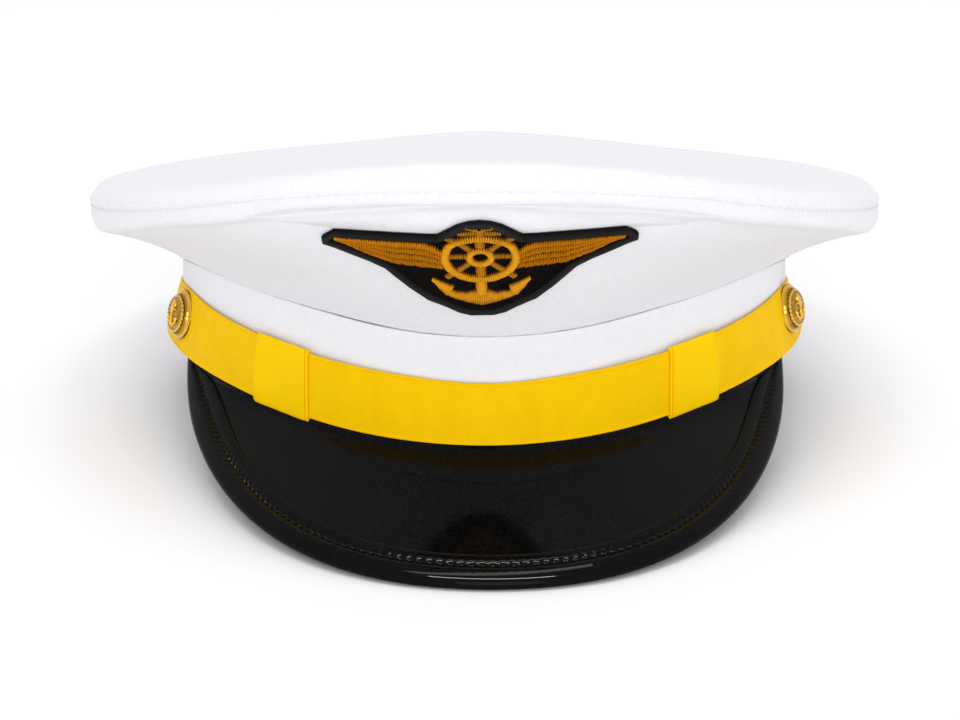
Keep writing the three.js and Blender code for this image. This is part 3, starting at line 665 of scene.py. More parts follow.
def side_move(point, normal):
    """How far a point of the crown side moves from its smooth form, in millimetres."""
    turn = azimuth_of(point)
    below = (seam_at(turn) - point).length / MM
    run = turn * CROWN_RADIUS / STITCH_LENGTH
    puckers = 0.10 * bell(below / 3.0) * math.cos(math.tau * run)
    sewn = -0.22 * bell((below - SEAM_STITCH_DROP) / 0.55) - 0.30 * bell(below / 0.5)
    uneven = 0.30 * noise.noise(point * 32) + 0.10 * noise.noise(point * 120)
    own = from_table @ point
    folds = fold_height(own.x / MM, own.z / MM) if own.y < 0 else 0
    tucked = Vector((0, 0, 0.9 * bell(below / 1.1)))
    return normal * (puckers + sewn + (uneven + folds) * min(1, below / 7)) + tucked


def work_cloth(bm, move):
    """Moves each outward-facing point of the cloth."""
    bm.normal_update()
    moves = []
    for vert in bm.verts:
        outward = vert.normal.dot(Vector((vert.co.x, vert.co.y, 0)).normalized())
        if outward > 0.05 or vert.normal.z > 0.3:
            moves.append((vert, move(vert.co, vert.normal) * MM))
    for vert, by in moves:
        vert.co += by


def wrap_map(bm, radius):
    """A map that runs round the cap and up its wall, in metres."""
    uv = bm.loops.layers.uv.get("UVMap") or bm.loops.layers.uv.new("UVMap")
    for face in bm.faces:
        turn = azimuth_of(face.calc_center_median())
        for loop in face.loops:
            swing = azimuth_of(loop.vert.co) - turn
            swing -= math.tau * round(swing / math.tau)
            place = loop.vert.co
            loop[uv].uv = ((turn + swing) * radius, place.z + 0.6 * place.xy.length)


softened(side_bm, 0.0004, 2)
front_edges = [
    edge for edge in side_bm.edges
    if all(vert.co.y < -0.02 and vert.co.z > 0.04 for vert in edge.verts)
]
bmesh.ops.subdivide_edges(side_bm, edges=front_edges, cuts=1, use_grid_fill=True, smooth=0.6)
work_cloth(side_bm, side_move)
wrap_map(side_bm, CROWN_RADIUS * MM)
crown_tree = BVHTree.FromBMesh(side_bm)
piece("crown_side_cloth", side_bm, [white_twill], ["crown_side"])

# %% [markdown]
# The top panel is stretched over the same stiffened edge and sewn to the side. Its seam
# allowance lies under it, so the panel stands a little proud along the seam, most of all
# at the sides where the edge turns tightly. Its hem is drawn down until it meets the side.

# %% Crown top
top_bm = squares_of("crown_top")
hem_at = widest(rings_of(top_bm))


def top_move(point, normal):
    turn = azimuth_of(point)
    hem = hem_at(turn)
    above = (hem - point).length / MM
    sideways = min(1, max(0, (abs(math.degrees(turn)) - 25) / 45))
    welt = mix(0.12, 0.6, sideways) * bell((above - 1.3) / 1.0)
    run = turn * CROWN_RADIUS / STITCH_LENGTH
    puckers = 0.06 * bell(above / 3.5) * math.cos(math.tau * run)
    uneven = 0.35 * noise.noise(point * 24) + 0.10 * noise.noise(point * 110)
    down = (seam_at(turn) - hem) / MM * bell(above / 4.5) - Vector((0, 0, 0.3 * bell(above)))
    return normal * (welt + puckers + uneven * min(1, above / 8)) + down


def flat_map(bm):
    uv = bm.loops.layers.uv.get("UVMap") or bm.loops.layers.uv.new("UVMap")
    for face in bm.faces:
        for loop in face.loops:
            loop[uv].uv = loop.vert.co.xy


softened(top_bm, 0.0004, 2)
work_cloth(top_bm, top_move)
flat_map(top_bm)
piece("crown_top_cloth", top_bm, [white_twill], ["crown_top"])

# %% [markdown]
# A row of small white stitches runs just under the seam, right round the crown. Each one
# is laid on the finished cloth: its ends are found by looking for the nearest point of
# the cloth, and its middle stands a thread's thickness off it.

# %% Seam stitches
STITCH_RADIUS = 0.22
SEAM_STITCHES = 270


def on_cloth(tree, point, out):
    place, normal, _, _ = tree.find_nearest(point)
    return place + normal * out * MM


def stitches_along(tree, points, share, out, lift):
    """One stitch between each two points of a row, on the cloth that a tree holds."""
    rows = []
    for start, end in zip(points, points[1:]):
        places = [(0, 0.5, -0.4), (0.22, 1, 0.7), (0.5, 1, 1), (0.78, 1, 0.7), (1, 0.5, -0.4)]
        rows.append([
            (on_cloth(tree, start.lerp(end, mix(0.5 - share / 2, 0.5 + share / 2, at)),
                      out + lift * rise), radius)
            for at, radius, rise in places
        ])
    return rows


seam_row = []
for step in range(SEAM_STITCHES + 1):
    seam_point = seam_at(math.tau * step / SEAM_STITCHES - math.pi)
    seam_row.append(seam_point - Vector((0, 0, SEAM_STITCH_DROP * MM)))
thread_piece(
    "crown_seam_stitches", stitches_along(crown_tree, seam_row, 0.74, 0.02, 0.16), STITCH_RADIUS,
    white_thread, crown_tree, (-0.2, 0.3),
)

# %% [markdown]
# The head band is the same twill over a firm card, so it is smoother than the crown. A
# softened copy of its solid is enough, with a very slight unevenness.

# %% Head band
BAND_RADIUS = 96


def band_move(point, normal):
    return normal * (0.18 * noise.noise(point * 28) + 0.06 * noise.noise(point * 120))


band_bm = softened(squares_of("band"), 0.0005, 2)
work_cloth(band_bm, band_move)
wrap_map(band_bm, BAND_RADIUS * MM)
piece("band_cloth", band_bm, [white_twill], ["band"])

# %% [markdown]
# The chin strap is a yellow ribbon, laid round the front of the band from button to button.
# A ribbon has a soft face and a tighter, slightly thicker edge on each side, the selvedge.
# Its section is a short table of points, and the grid carries that section along the band.

# %% Strap
STRAP_THICKNESS = 0.7
RIBBON_THICKNESS = 0.5
STRAP_END = 89
STRAP = named_rows(
    "azimuth low high low_off high_off",
    (0, 3.2, 20.4, 1.3, 0.4),
    (15, 3.6, 21.6, 1.3, 0.5),
    (30, 4.6, 23.0, 1.5, 1.3),
    (45, 6.3, 24.5, 1.9, 1.3),
    (60, 8.0, 26.0, 2.4, 0.6),
    (75, 9.6, 27.3, 3.6, -0.1),
    (90, 10.8, 25.2, 4.5, -0.4),
    (100, 11.0, 24.6, 4.8, 0.0),
)
RIBBON_SECTION = named_rows(
    "share depth",
    (0.0, 0.4),
    (0.004, 0.9),
    (0.018, 1.22),
    (0.036, 1.18),
    (0.052, 0.86),
    (0.075, 0.96),
    (0.3, 1.0),
    (0.5, 1.02),
    (0.7, 1.0),
    (0.925, 0.96),
    (0.948, 0.86),
    (0.964, 1.18),
    (0.982, 1.22),
    (0.996, 0.9),
    (1.0, 0.4),
    (0.99, 0.02),
    (0.7, 0.0),
    (0.3, 0.0),
    (0.01, 0.02),
)


def strap_at(azimuth, share):
    """Height and stand-off from the band, at a share of the way up the strap."""
    low, high, low_off, high_off = (
        reading(STRAP, name, azimuth) for name in ("low", "high", "low_off", "high_off")
    )
    return mix(low, high, share), mix(low_off, high_off, share)


def strap_point(azimuth, share, out):
    height, stand = strap_at(azimuth, share)
    return settled(*band_plan(azimuth, stand + out), height)


def ribbon_rule(along, across):
    azimuth = mix(-STRAP_END, STRAP_END, along)
    row = row_at(RIBBON_SECTION, across)
    sway = 0.12 * noise.noise(Vector((along * 14, row["share"] * 1.4, 0)))
    return strap_point(azimuth, row["share"], row["depth"] * RIBBON_THICKNESS + max(0, sway))


strap_bm = close_ends(
    grid_piece(200, len(RIBBON_SECTION), ribbon_rule, length=330, width=38)
)
piece("strap_ribbon", strap_bm, [yellow_satin], ["strap"], levels=1)

# %% [markdown]
# Two keepers, flat loops of the same ribbon, hold the strap. On each the outer side is a
# soft fold that bows out at its middle. The inner side has a narrow hem: a raised rim and,
# just inside it, the dark groove where the hem is sewn down.

# %% Keepers
KEEPER_PLACES = {-1: {"azimuth": 40.6, "half_span": 7.0}, 1: {"azimuth": 42.0, "half_span": 6.4}}
KEEPER_THICKNESS = 0.5
KEEPER_LOOP = named_rows(
    "share side margin",
    (0.0, 0.0, 0.2),
    (0.0, 0.3, 1.1),
    (0.0, 0.8, 1.1),
    (0.03, 1.0, 0.3),
    (0.25, 1.0, 0.0),
    (0.5, 1.0, 0.0),
    (0.75, 1.0, 0.0),
    (0.97, 1.0, -0.2),
    (1.0, 0.8, -0.9),
    (1.0, 0.3, -0.9),
    (1.0, 0.0, -0.1),
    (0.75, 0.0, 0.0),
    (0.5, 0.0, 0.0),
    (0.25, 0.0, 0.0),
)
KEEPER_COLUMNS = named_rows(
    "along stand",
    (0.0, 0.8),
    (0.012, 1.2),
    (0.034, 1.25),
    (0.042, 1.15),
    (0.046, 0.1),
    (0.056, 0.1),
    (0.06, 1.15),
    (0.075, 1.2),
    (0.2, 1.12),
    (0.4, 1.0),
    (0.6, 1.05),
    (0.78, 1.3),
    (0.89, 1.6),
    (0.95, 1.5),
    (0.985, 1.1),
    (1.0, 0.7),
)


def keeper_rule(side):
    place = KEEPER_PLACES[side]

    def rule(along, across):
        row = row_at(KEEPER_LOOP, across)
        column = KEEPER_COLUMNS[round(along * (len(KEEPER_COLUMNS) - 1))]
        bow = math.sin(math.pi * row["share"] ** 0.8) - 0.9 * row["share"]
        span = place["half_span"] * (2 * column["along"] - 1)
        azimuth = side * (place["azimuth"] + span + bow * column["along"] ** 4)
        rise = reading(STRAP, "high", azimuth) - reading(STRAP, "low", azimuth)
        crease = 0.12 * noise.noise(Vector((column["along"] * 2, row["share"] * 3, side * 7)))
        out = mix(-0.25, column["stand"] + crease, row["side"])
        return strap_point(azimuth, row["share"] - row["margin"] / rise, out)

    return rule


for side, name in SIDES:
    keeper_bm = grid_piece(len(KEEPER_COLUMNS) - 1, len(KEEPER_LOOP), keeper_rule(side),
                           length=22, width=42)
    bmesh.ops.recalc_face_normals(keeper_bm, faces=keeper_bm.faces)
    bmesh.ops.solidify(keeper_bm, geom=keeper_bm.faces, thickness=KEEPER_THICKNESS * MM)
    # The keepers wear the copy of the satin that is painted lighter.
    piece(f"keeper_{name}_ribbon", keeper_bm, [keeper_satin_painted_lighter],
          [f"keeper_{name}"], levels=3)

# %% [markdown]
# The peak is a stiff sheet of patent leather that fans out from the band, bound along its
# edge. Both pieces follow the same lines, which run from the band to the edge of the peak:
# each line knows its root, its edge, its length and which way is up.

# %% Lines of the peak
PEAK_END = 66
PEAK_FAN = 0.25
PEAK_ROOT = named_rows(
    "azimuth height off",
    (0, 2.4, 0.3),
    (45, 4.3, 0.3),
    (66, 6.9, 1.6),
)
PEAK_TIP = Vector((0, -151.4, -20.25))
PEAK_CORNER = Vector((84.5, -33.0, 8.1))
PEAK_SIDE = Vector((82.9, -55.5, -5.8))
PEAK_FRONT_PULL = Vector((73.6, 0, 0))
PEAK_LEAN = {"tip": 1.8, "corner": 0.1}
CORNER_TAPER = 0.55
PEAK_THICKNESS = 1.8
EDGE_STEPS = 400


def peak_edge():
    """Half of the edge, from the tip to the corner, as fine points and their distances."""
    handle = PEAK_TIP + PEAK_FRONT_PULL
    fine = [
        PEAK_TIP * (1 - t) ** 3 + handle * 3 * t * (1 - t) ** 2 + PEAK_SIDE * 3 * t * t * (1 - t)
        + PEAK_CORNER * t**3
        for t in (step / EDGE_STEPS for step in range(EDGE_STEPS + 1))
    ]
    lengths = [0]
    for before, after in zip(fine, fine[1:]):
        lengths.append(lengths[-1] + (after - before).length)
    return fine, lengths


EDGE_POINTS, EDGE_LENGTHS = peak_edge()


def edge_at(share):
    goal = share * EDGE_LENGTHS[-1]
    index = next((i for i, at in enumerate(EDGE_LENGTHS) if at >= goal), len(EDGE_LENGTHS) - 1)
    index = max(index, 1)
    span = EDGE_LENGTHS[index] - EDGE_LENGTHS[index - 1]
    return EDGE_POINTS[index - 1].lerp(EDGE_POINTS[index], (goal - EDGE_LENGTHS[index - 1]) / span)


def peak_line(along):
    """The line at a share of the way from the left corner to the right one."""

    def ends(place):
        share, side = abs(place), math.copysign(1, place)
        edge = edge_at(min(share, 1))
        edge.x = side * edge.x + mix(PEAK_LEAN["tip"], PEAK_LEAN["corner"], share)
        azimuth = side * PEAK_END * share * (1 - PEAK_FAN * (1 - share))
        off, height = (reading(PEAK_ROOT, name, azimuth) for name in ("off", "height"))
        root = Vector((*band_plan(azimuth, off), height))
        return root, edge, share

    place = along * 2 - 1
    root, edge, share = ends(place)
    before = ends(max(place - 0.02, -1))[1]
    after = ends(min(place + 0.02, 1))[1]
    out = (edge - root).normalized()
    up = out.cross((after - before).normalized()).normalized()
    if up.z < 0:
        up.negate()
    thin = mix(1, CORNER_TAPER, max(0, (share - 0.8) / 0.2))
    return {"root": root, "edge": edge, "out": out, "up": up, "thin": thin,
            "length": (edge - root).length}


def peak_point(line, inward, height):
    return settled(*(line["edge"] - line["out"] * inward + line["up"] * height))


print("half the peak's edge is", round(EDGE_LENGTHS[-1], 1), "mm")

# %% [markdown]
# The sheet itself is a grid that goes out along the top of each line, round the edge and
# back underneath, so that it is closed. Where it meets the band, its top curls up a little
# behind the strap. The top is patent and the underside is lining.

# %% Peak
ROOT_CURL = 1.3
PLATE_SECTION = named_rows(
    "share side",
    (0.0, 1),
    (0.02, 1),
    (0.06, 1),
    (0.12, 1),
    (0.3, 1),
    (0.5, 1),
    (0.7, 1),
    (0.9, 1),
    (0.985, 1),
    (1.0, 0),
    (0.985, -1),
    (0.9, -1),
    (0.5, -1),
    (0.1, -1),
    (0.0, -1),
)


def plate_rule(along, across):
    line = peak_line(along)
    row = row_at(PLATE_SECTION, across)
    half = PEAK_THICKNESS / 2 * line["thin"]
    if row["share"] == 0:
        rise = half / max(0.5, line["up"].z) * row["side"] + (ROOT_CURL if row["side"] > 0 else 0)
        return settled(*(line["root"] + Vector((0, 0, rise))))
    curl = ROOT_CURL * bell(line["length"] * row["share"] / 1.3) if row["side"] > 0 else 0
    return peak_point(line, line["length"] * (1 - row["share"]), half * row["side"] + curl)


plate_bm = close_ends(grid_piece(120, len(PLATE_SECTION), plate_rule, length=300, width=110))
bmesh.ops.recalc_face_normals(plate_bm, faces=plate_bm.faces)
for face in plate_bm.faces:
    face.material_index = 1 if face.normal.z < -0.2 else 0
piece("peak_patent", plate_bm, [black_patent, peak_lining], ["peak"], levels=1)

# %% [markdown]
# The binding is a strip of the same patent folded over the edge and sewn through. Its
# section says most of it: a full round edge, a valley where the thread pulls the strip
# down, and a rounded inner margin. The valley is deeper at each hole of the needle.

# %% Binding of the peak
BINDING_STITCH = 2.8
BINDING_VALLEY = 4.5
BINDING_WIDTH = 8.8
BINDING_SECTION = named_rows(
    "inward height",
    (8.7, 1.0),
    (8.8, 1.45),
    (8.55, 1.85),
    (7.9, 2.05),
    (6.8, 2.1),
    (5.7, 2.0),
    (5.0, 1.75),
    (4.5, 1.4),
    (3.9, 1.75),
    (3.0, 2.15),
    (2.2, 2.32),
    (1.6, 2.26),
    (0.6, 2.06),
    (0.1, 1.94),
    (-0.9, 1.62),
    (-1.75, 1.0),
    (-2.04, 0.0),
    (-1.75, -1.05),
    (-0.9, -1.78),
    (0.6, -2.02),
    (4.5, -1.95),
    (8.2, -2.0),
    (8.6, -1.6),
    (8.5, -1.2),
    (4.5, -1.15),
    (0.3, -1.1),
    (-0.95, 0.0),
    (0.3, 1.1),
    (4.5, 1.1),
    (8.2, 1.05),
)
EDGE_SPAN = 2 * EDGE_LENGTHS[-1]


def binding_rule(along, across):
    line = peak_line(along)
    row = row_at(BINDING_SECTION, across)
    inward, height = row["inward"], row["height"] * line["thin"]
    width = min(1, (line["length"] - 1) / BINDING_WIDTH)
    if height > 1.3 * line["thin"]:
        hole = math.cos(math.tau * along * EDGE_SPAN / BINDING_STITCH)
        height -= 0.16 * bell((inward - BINDING_VALLEY) / 0.7) * (1 + hole)
        height += 0.05 * bell((inward - BINDING_VALLEY) / 1.8) * (1 - hole)
    return peak_point(line, inward * width, height)


binding_bm = close_ends(
    grid_piece(600, len(BINDING_SECTION), binding_rule, length=330, width=44)
)
binding_tree = BVHTree.FromBMesh(binding_bm)
piece("peak_binding_strip", binding_bm, [strip_patent], ["peak_binding"],
      levels=1)

# %% [markdown]
# A black stitch lies across each dip of the valley. The stitches are laid on the strip as
# the seam's are on the crown, but thicker and higher, because they catch the light.

# %% Stitches of the binding
BINDING_STITCH_RADIUS = 0.36

binding_count = round(EDGE_SPAN / BINDING_STITCH)
binding_row = []
for step in range(binding_count):
    stitch_line = peak_line((step + 0.5) / binding_count)
    binding_row.append(peak_point(stitch_line, BINDING_VALLEY, 2.0 * stitch_line["thin"]))
thread_piece(
    "peak_binding_stitches", stitches_along(binding_tree, binding_row, 0.74, 0.08, 0.40),
    BINDING_STITCH_RADIUS, black_thread, binding_tree, (0, 0.7),
)

# %% [markdown]
# The buttons are stamped metal: a stepped rim, a ring like rope, and an anchor raised on
# the dome. The plain shape is turned: half its section is spun round the axis. The relief
# is then raised by a rule that reads each point's distance from the strokes of the anchor.

# %% Buttons
BUTTON_AZIMUTH = {-1: 75, 1: 77.5}
BUTTON_TURN = 64
BUTTON_LIFT = 13
BUTTON_STANDOFF = -0.3
BUTTON_SIZE = 1.03
BUTTON_RISE = {-1: 0.2, 1: 0.9}
BUTTON_HEIGHT_SHARE = 0.56
BUTTON_PROFILE = named_rows(
    "radius height",
    (0.0, -0.1),
    (5.9, -0.1),
    (6.6, 0.1),
    (6.95, 0.45),
    (7.0, 0.8),
    (6.85, 1.15),
    (6.5, 1.25),
    (6.3, 1.25),
    (6.12, 1.45),
    (6.05, 1.75),
)
DOME_RINGS = 30
DOME_RADIUS = 5.95
DOME_FOOT = 1.85
DOME_TOP = 3.5
ANCHOR_MIDDLE = named_rows(
    "start end width",
    ((0, -3.0), (0, 1.9), 0.42),
    ((-1.5, 1.35), (1.5, 1.35), 0.34),
)
ANCHOR_ARM = named_rows(
    "start end width",
    ((0, -3.2), (1.2, -2.9), 0.42),
    ((1.2, -2.9), (2.3, -2.1), 0.42),
    ((2.3, -2.1), (3.0, -0.7), 0.42),
    ((3.0, -0.7), (1.9, -1.2), 0.34),
)
RING_CENTRE = Vector((0, 2.6))
ROPE_RADIUS = 5.0


def stroke_distance(place, stroke):
    start, end = Vector(stroke["start"]), Vector(stroke["end"])
    run = end - start
    share = min(1, max(0, (place - start).dot(run) / run.length_squared))
    return (place - start - run * share).length / stroke["width"]


def relief(place):
    """Height of the stamped pattern over the dome at a place on its face."""
    mirrored = Vector((abs(place.x), place.y))
    near = [stroke_distance(place, stroke) for stroke in ANCHOR_MIDDLE]
    near += [stroke_distance(mirrored, stroke) for stroke in ANCHOR_ARM]
    anchor = bell(min(near) ** 1.5)
    ring = bell((((place - RING_CENTRE).length - 0.7) / 0.3) ** 2)
    turn = math.atan2(place.y, place.x)
    twist = 0.75 + 0.25 * math.sin(26 * turn + 3 * place.length)
    rope = bell((place.length - ROPE_RADIUS) / 0.45) * twist
    return 0.62 * max(anchor, ring) + 0.55 * rope


def button_bm():
    bm = bmesh.new()
    profile = [Vector((row["radius"], 0, row["height"])) for row in BUTTON_PROFILE]
    for step in range(DOME_RINGS + 1):
        turn = step / DOME_RINGS * math.pi / 2
        profile.append(Vector((DOME_RADIUS * math.cos(turn), 0,
                               mix(DOME_FOOT, DOME_TOP, math.sin(turn) ** 1.3))))
    verts = [bm.verts.new(point) for point in profile]
    edges = [bm.edges.new(pair) for pair in zip(verts, verts[1:])]
    bmesh.ops.spin(bm, geom=verts + edges, cent=(0, 0, 0), axis=(0, 0, 1), angle=math.tau,
                   steps=120, use_merge=True)
    bmesh.ops.remove_doubles(bm, verts=bm.verts, dist=1e-3)
    painted_shading = bm.verts.layers.float.new("painted_shading")
    for vert in bm.verts:
        on_dome = vert.co.z > DOME_FOOT - 0.05
        raised = relief(vert.co.xy) if on_dome else 0
        # Painted light and shade: the tops of the relief are painted lighter, and painted shade
        # lies in the creases at its foot.
        shine = 0.45 + min(0.55, raised) - 0.6 * bell((raised - 0.14) / 0.08)
        foot = vert.co.xy.length > DOME_RADIUS and (vert.co.z < 0.9 or on_dome)
        # Painted shadow: a dark line round the button's foot, where it meets the ribbon.
        vert[painted_shading] = 0.1 if foot else max(0, shine) if on_dome else 0.7
        vert.co.z += raised
    return bm


def button_place(side):
    turn, lift = math.radians(BUTTON_TURN), math.radians(BUTTON_LIFT)
    axis = Vector((side * math.sin(turn) * math.cos(lift), -math.cos(turn) * math.cos(lift),
                   math.sin(lift)))
    azimuth = side * BUTTON_AZIMUTH[side]
    height, stand = strap_at(azimuth, BUTTON_HEIGHT_SHARE)
    plan = band_plan(azimuth, stand + STRAP_THICKNESS)
    foot = Vector((*plan, height + BUTTON_RISE[side])) + axis * BUTTON_STANDOFF
    across = Vector((0, 0, 1)).cross(axis).normalized()
    up = axis.cross(across)
    basis = Matrix((across, up, axis)).transposed().to_4x4()
    return (to_table @ Matrix.Scale(MM, 4) @ Matrix.Translation(foot) @ basis
            @ Matrix.Scale(BUTTON_SIZE, 4))


for side, name in SIDES:
    stamped = button_bm()
    bmesh.ops.transform(stamped, matrix=button_place(side), verts=stamped.verts)
    piece(f"button_{name}_gold", stamped, [gold_metal], [f"button_{name}"],
          levels=1)

# %% [markdown]
# The patch is embroidered on black twill and sewn to the front of the crown. It is drawn
# flat, in millimetres across and up from the middle of its wheel. `on_crown` carries a
# place on that flat drawing to the cloth: it looks at the crown from straight in front and
# takes the point that it meets, so the patch bends with the crown.

# %% The patch's place
PATCH = {"x": -1.2, "z": 61.1, "turn": math.radians(1.5), "slope": math.radians(50.5)}
PATCH_THICKNESS = 1.2


def crown_face(x, z):
    start = settled(x, -300, z)
    way = (to_table.to_3x3() @ Vector((0, 1, 0))).normalized()
    return crown_tree.ray_cast(start, way)[0]


def on_crown(across, up, out=0.0):
    turn = PATCH["turn"]
    x = PATCH["x"] + across * math.cos(turn) - up * math.sin(turn)
    z = PATCH["z"] + (across * math.sin(turn) + up * math.cos(turn)) * math.sin(PATCH["slope"])
    aside = crown_face(x + 2, z) - crown_face(x - 2, z)
    above = crown_face(x, z + 1.5) - crown_face(x, z - 1.5)
    return crown_face(x, z) + aside.cross(above).normalized() * out * MM


print("middle of the wheel at", [round(c, 4) for c in on_crown(0, 0)])

# %% Ground of the patch
PATCH_OUTLINE = named_rows(
    "across top bottom",
    (0, 14.2, -25.0),
    (3.0, 13.8, -25.0),
    (6.0, 12.5, -23.9),
    (9.2, 9.9, -21.6),
    (11.3, 7.7, -20.3),
    (14.1, 7.7, -18.7),
    (18.8, 8.0, -13.7),
    (22.3, 8.1, -9.3),
    (24.9, 8.2, -5.8),
    (29.0, 8.2, -2.9),
    (34.3, 8.3, 0.0),
    (38.0, 8.3, 2.1),
    (41.0, 5.4, 3.4),
)


def line_reading(table, name, across):
    """Straight-line reading of a table of an outline, the same on both sides."""
    across = abs(across)
    for row, after in zip(table, table[1:]):
        if across <= after["across"]:
            share = (across - row["across"]) / (after["across"] - row["across"])
            return mix(row[name], after[name], max(0, share))
    return table[-1][name]


def patch_rule(along, across):
    reach = PATCH_OUTLINE[-1]["across"]
    place = mix(-reach, reach, along)
    bottom, top = (line_reading(PATCH_OUTLINE, name, place) for name in ("bottom", "top"))
    return on_crown(place, mix(bottom, top, across), 0.2)


patch_bm = grid_piece(110, 22, patch_rule, length=83, width=39)
bmesh.ops.recalc_face_normals(patch_bm, faces=patch_bm.faces)
if sum(face.normal.y for face in patch_bm.faces) > 0:
    bmesh.ops.reverse_faces(patch_bm, faces=patch_bm.faces)
bmesh.ops.solidify(patch_bm, geom=patch_bm.faces, thickness=-PATCH_THICKNESS * MM)
piece("patch_ground", patch_bm, [black_twill], ["badge_backing"])

# %% [markdown]
# Every motif is satin stitch: threads laid side by side from one line to another.
# `satin_rows` takes the two lines as rules of how far along they are, and lays a thread
# across at each step, thinner at its ends and arched over its middle. A little noise makes
# the threads uneven in thickness and length, as a machine's are.

# %% Satin stitch
GROUND = 0.2 + PATCH_THICKNESS
SPACING = 0.64
THREAD_RADIUS = 0.29


def satin_rows(first, second, count, arch=0.45, lift=0.2, slant=0.0, rag=0.15):
    """Threads from one line to another; slant sets how far the far end runs ahead."""
    rows = []
    for step in range(count):
        start_at = (step + 0.5) / count
        end_at = min(1, max(0, start_at + slant / count))
        start, end = Vector(first(start_at)), Vector(second(end_at))
        loose = 1 + 0.16 * noise.noise(Vector((step * 1.7, start.x, start.y)))
        away = (end - start).normalized()
        start -= away * rag * noise.noise(Vector((step * 2.3, end.x, 3)))
        end += away * rag * noise.noise(Vector((step * 2.9, start.y, 8)))
        run = []
        for at, radius, rise in ((0, 0.6, -0.5), (0.14, 1, 0.55), (0.5, 1, 1), (0.86, 1, 0.55),
                                 (1, 0.6, -0.5)):
            place = start.lerp(end, at)
            run.append((on_crown(place.x, place.y, GROUND + lift + arch * rise), radius * loose))
        rows.append(run)
    return rows


def circle(radius):
    def at(share):
        turn = math.tau * share
        return (radius * math.sin(turn), radius * math.cos(turn))

    return at


def straight(start, end):
    return lambda share: Vector(start).lerp(Vector(end), share)


def through(*points):
    """A line through points, at even distances."""
    points = [Vector(point) for point in points]
    lengths = [(b - a).length for a, b in zip(points, points[1:])]

    def at(share):
        goal = share * sum(lengths)
        for start, end, length in zip(points, points[1:], lengths):
            if goal <= length:
                return start.lerp(end, goal / length)
            goal -= length
        return points[-1]

    return at


def steps_for(length):
    return max(3, round(length / SPACING))


print("threads every", SPACING, "mm")

# %% [markdown]
# Each wing is four rows of feathers. The top row stands highest, and each row below it is
# more ragged. One outline, read across, gives all the rows, and the stitches lean outwards.

# %% Wings
WING_OUTLINE = named_rows(
    "across top bottom",
    (9.2, 1.8, -4.75),
    (11.7, 4.2, -4.6),
    (14.4, 6.1, -4.3),
    (18.0, 6.3, -3.7),
    (21.9, 6.4, -3.1),
    (23.7, 6.5, -2.2),
    (26.2, 6.6, -0.7),
    (29.1, 6.7, 0.9),
    (32.8, 6.8, 3.6),
    (37.4, 6.9, 6.2),
)
WING_THREAD_RADIUS = 0.30
FEATHER_ROWS = named_rows(
    "low high rag lift",
    (0.74, 1.0, 0.25, 0.45),
    (0.5, 0.73, 0.35, 0.25),
    (0.26, 0.49, 0.45, 0.25),
    (0.0, 0.25, 0.6, 0.2),
)


def wing_line(side, share_name, row, ragged):
    start, reach = WING_OUTLINE[0]["across"], WING_OUTLINE[-1]["across"]

    def at(share):
        across = mix(start, reach, share)
        bottom, top = (line_reading(WING_OUTLINE, name, across) for name in ("bottom", "top"))
        rag = ragged * noise.noise(Vector((across * 1.9, row["low"] * 9, side)))
        return (side * across, mix(bottom, top, row[share_name]) + rag)

    return at


def wing_stitches(side):
    rows = []
    count = steps_for(WING_OUTLINE[-1]["across"] - WING_OUTLINE[0]["across"])
    for row in FEATHER_ROWS:
        low = wing_line(side, "low", row, row["rag"])
        high = wing_line(side, "high", row, 0.1)
        rows += satin_rows(low, high, count, arch=0.75, lift=row["lift"], slant=1.2,
                           rag=0.4)
    return rows


for side, name in SIDES:
    thread_piece(f"wing_{name}_threads", wing_stitches(side), WING_THREAD_RADIUS, wing_gold,
                 crown_tree, (GROUND - 0.1, GROUND + 1.1), [f"badge_wing_{name}"])

# %% [markdown]
# The ship's wheel has eight spokes, four of them with handles beyond the rim, and a small
# shackle on top. Rim and hub stand higher than the spokes, so they cover the spokes' ends.

# %% Wheel
WHEEL = {"rim": 10.15, "rim_inner": 8.1, "hub": 3.7, "hub_inner": 2.0, "spoke": 1.7,
         "handle": 12.5}
SHACKLE_BARS = named_rows(
    "start end width",
    ((-5.6, 10.6), (-1.2, 10.9), 1.1),
    ((1.2, 10.9), (5.6, 10.6), 1.1),
    ((0, 9.4), (0, 12.0), 2.4),
    ((-0.5, 11.7), (-3.6, 12.7), 0.9),
    ((0.5, 11.7), (3.6, 12.7), 0.9),
)


def bar_stitches(start, end, width, lift=0.15, arch=0.45):
    start, end = Vector(start), Vector(end)
    aside = (end - start).orthogonal().normalized() * width / 2
    return satin_rows(straight(start + aside, end + aside), straight(start - aside, end - aside),
                      steps_for((end - start).length), arch=arch, lift=lift)


wheel_rows = []
for index in range(8):
    turn = math.tau * index / 8
    way = Vector((math.sin(turn), math.cos(turn)))
    width = WHEEL["spoke"] * (1.6 if index % 4 == 0 else 1.0)
    wheel_rows += bar_stitches(way * WHEEL["hub"], way * WHEEL["rim_inner"], width)
    if index % 2:
        wheel_rows += bar_stitches(way * (WHEEL["rim"] - 0.2), way * WHEEL["handle"], 1.9)
wheel_rows += satin_rows(circle(WHEEL["hub_inner"]), circle(WHEEL["hub"]), steps_for(20),
                         arch=0.8, lift=0.45)
wheel_rows += satin_rows(circle(WHEEL["rim_inner"]), circle(WHEEL["rim"]), steps_for(58),
                         arch=1.0, lift=0.45)
for bar in SHACKLE_BARS:
    wheel_rows += bar_stitches(**bar)
thread_piece("wheel_threads", wheel_rows, THREAD_RADIUS, wheel_gold, crown_tree,
             (GROUND - 0.1, GROUND + 1.4), ["badge_wheel"])

# %% [markdown]
# The anchor hangs under the wheel: a short stem, then on each side an arm that narrows
# outwards and a fluke on its end.

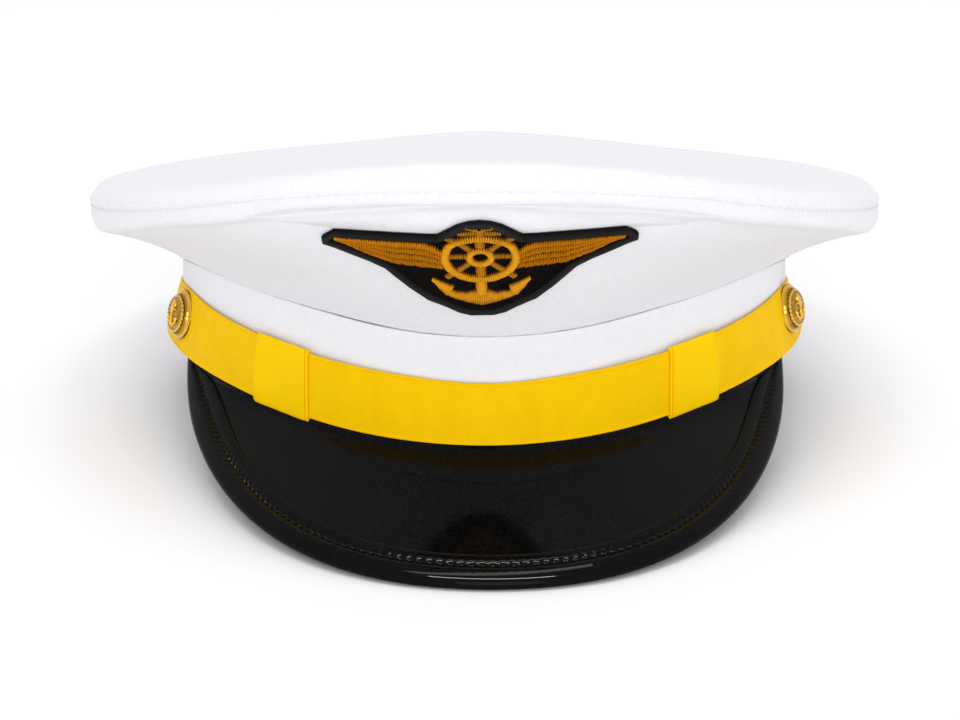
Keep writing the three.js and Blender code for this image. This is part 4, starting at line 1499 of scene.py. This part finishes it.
# %% Anchor
anchor_rows = bar_stitches((0, -9.9), (0, -15.6), 3.0, lift=0.35, arch=0.6)
for side in (-1, 1):
    upper = through((0, -14.0), (side * 1.9, -14.2), (side * 3.8, -15.2), (side * 6.9, -14.6),
                    (side * 8.2, -13.6))
    lower = through((0, -20.9), (side * 1.7, -20.2), (side * 3.8, -19.2), (side * 6.8, -17.7),
                    (side * 9.2, -15.9))
    anchor_rows += satin_rows(upper, lower, steps_for(11), arch=0.7)
    inner = through((side * 7.0, -12.4), (side * 9.6, -11.0), (side * 12.6, -8.9))
    outer = through((side * 9.3, -16.2), (side * 11.0, -12.9), (side * 12.6, -9.3))
    anchor_rows += satin_rows(inner, outer, steps_for(8.5), arch=0.7, lift=0.4)
thread_piece("anchor_threads", anchor_rows, THREAD_RADIUS, wheel_gold, crown_tree,
             (GROUND - 0.1, GROUND + 1.2), ["badge_anchor"])

# %% [markdown]
# The patch's edge is bound with black threads. Each one starts at the crown, comes up
# round the edge, lies over a low ridge and ends a border's width inside.

# %% Bound edge of the patch
BORDER = 2.0
BORDER_THREADS = 460
right_top = [(row["across"], row["top"]) for row in PATCH_OUTLINE]
right_bottom = [(row["across"], row["bottom"]) for row in PATCH_OUTLINE]
left_top = [(-x, y) for x, y in right_top]
left_bottom = [(-x, y) for x, y in right_bottom]
outline = right_top + right_bottom[::-1] + left_bottom[1:] + left_top[::-1]
edge_line = through(*outline)


def border_stitches():
    rows = []
    for step in range(BORDER_THREADS):
        share = step / BORDER_THREADS
        place = Vector(edge_line(share))
        ahead = Vector(edge_line((share + 0.006) % 1)) - Vector(edge_line((share - 0.006) % 1))
        inward = Vector((ahead.y, -ahead.x)).normalized()
        rows.append([
            (on_crown(*(place + inward * 0.05), 0.30), 0.7),
            (on_crown(*(place - inward * 0.05), GROUND * 0.7), 1),
            (on_crown(*(place + inward * 0.5), GROUND + 0.45), 1),
            (on_crown(*(place + inward * BORDER * 0.65), GROUND + 0.50), 1),
            (on_crown(*(place + inward * BORDER), GROUND - 0.05), 0.7),
        ])
    return rows


thread_piece("patch_border_threads", border_stitches(), THREAD_RADIUS, border_thread,
             crown_tree, (GROUND - 0.2, GROUND + 0.8))
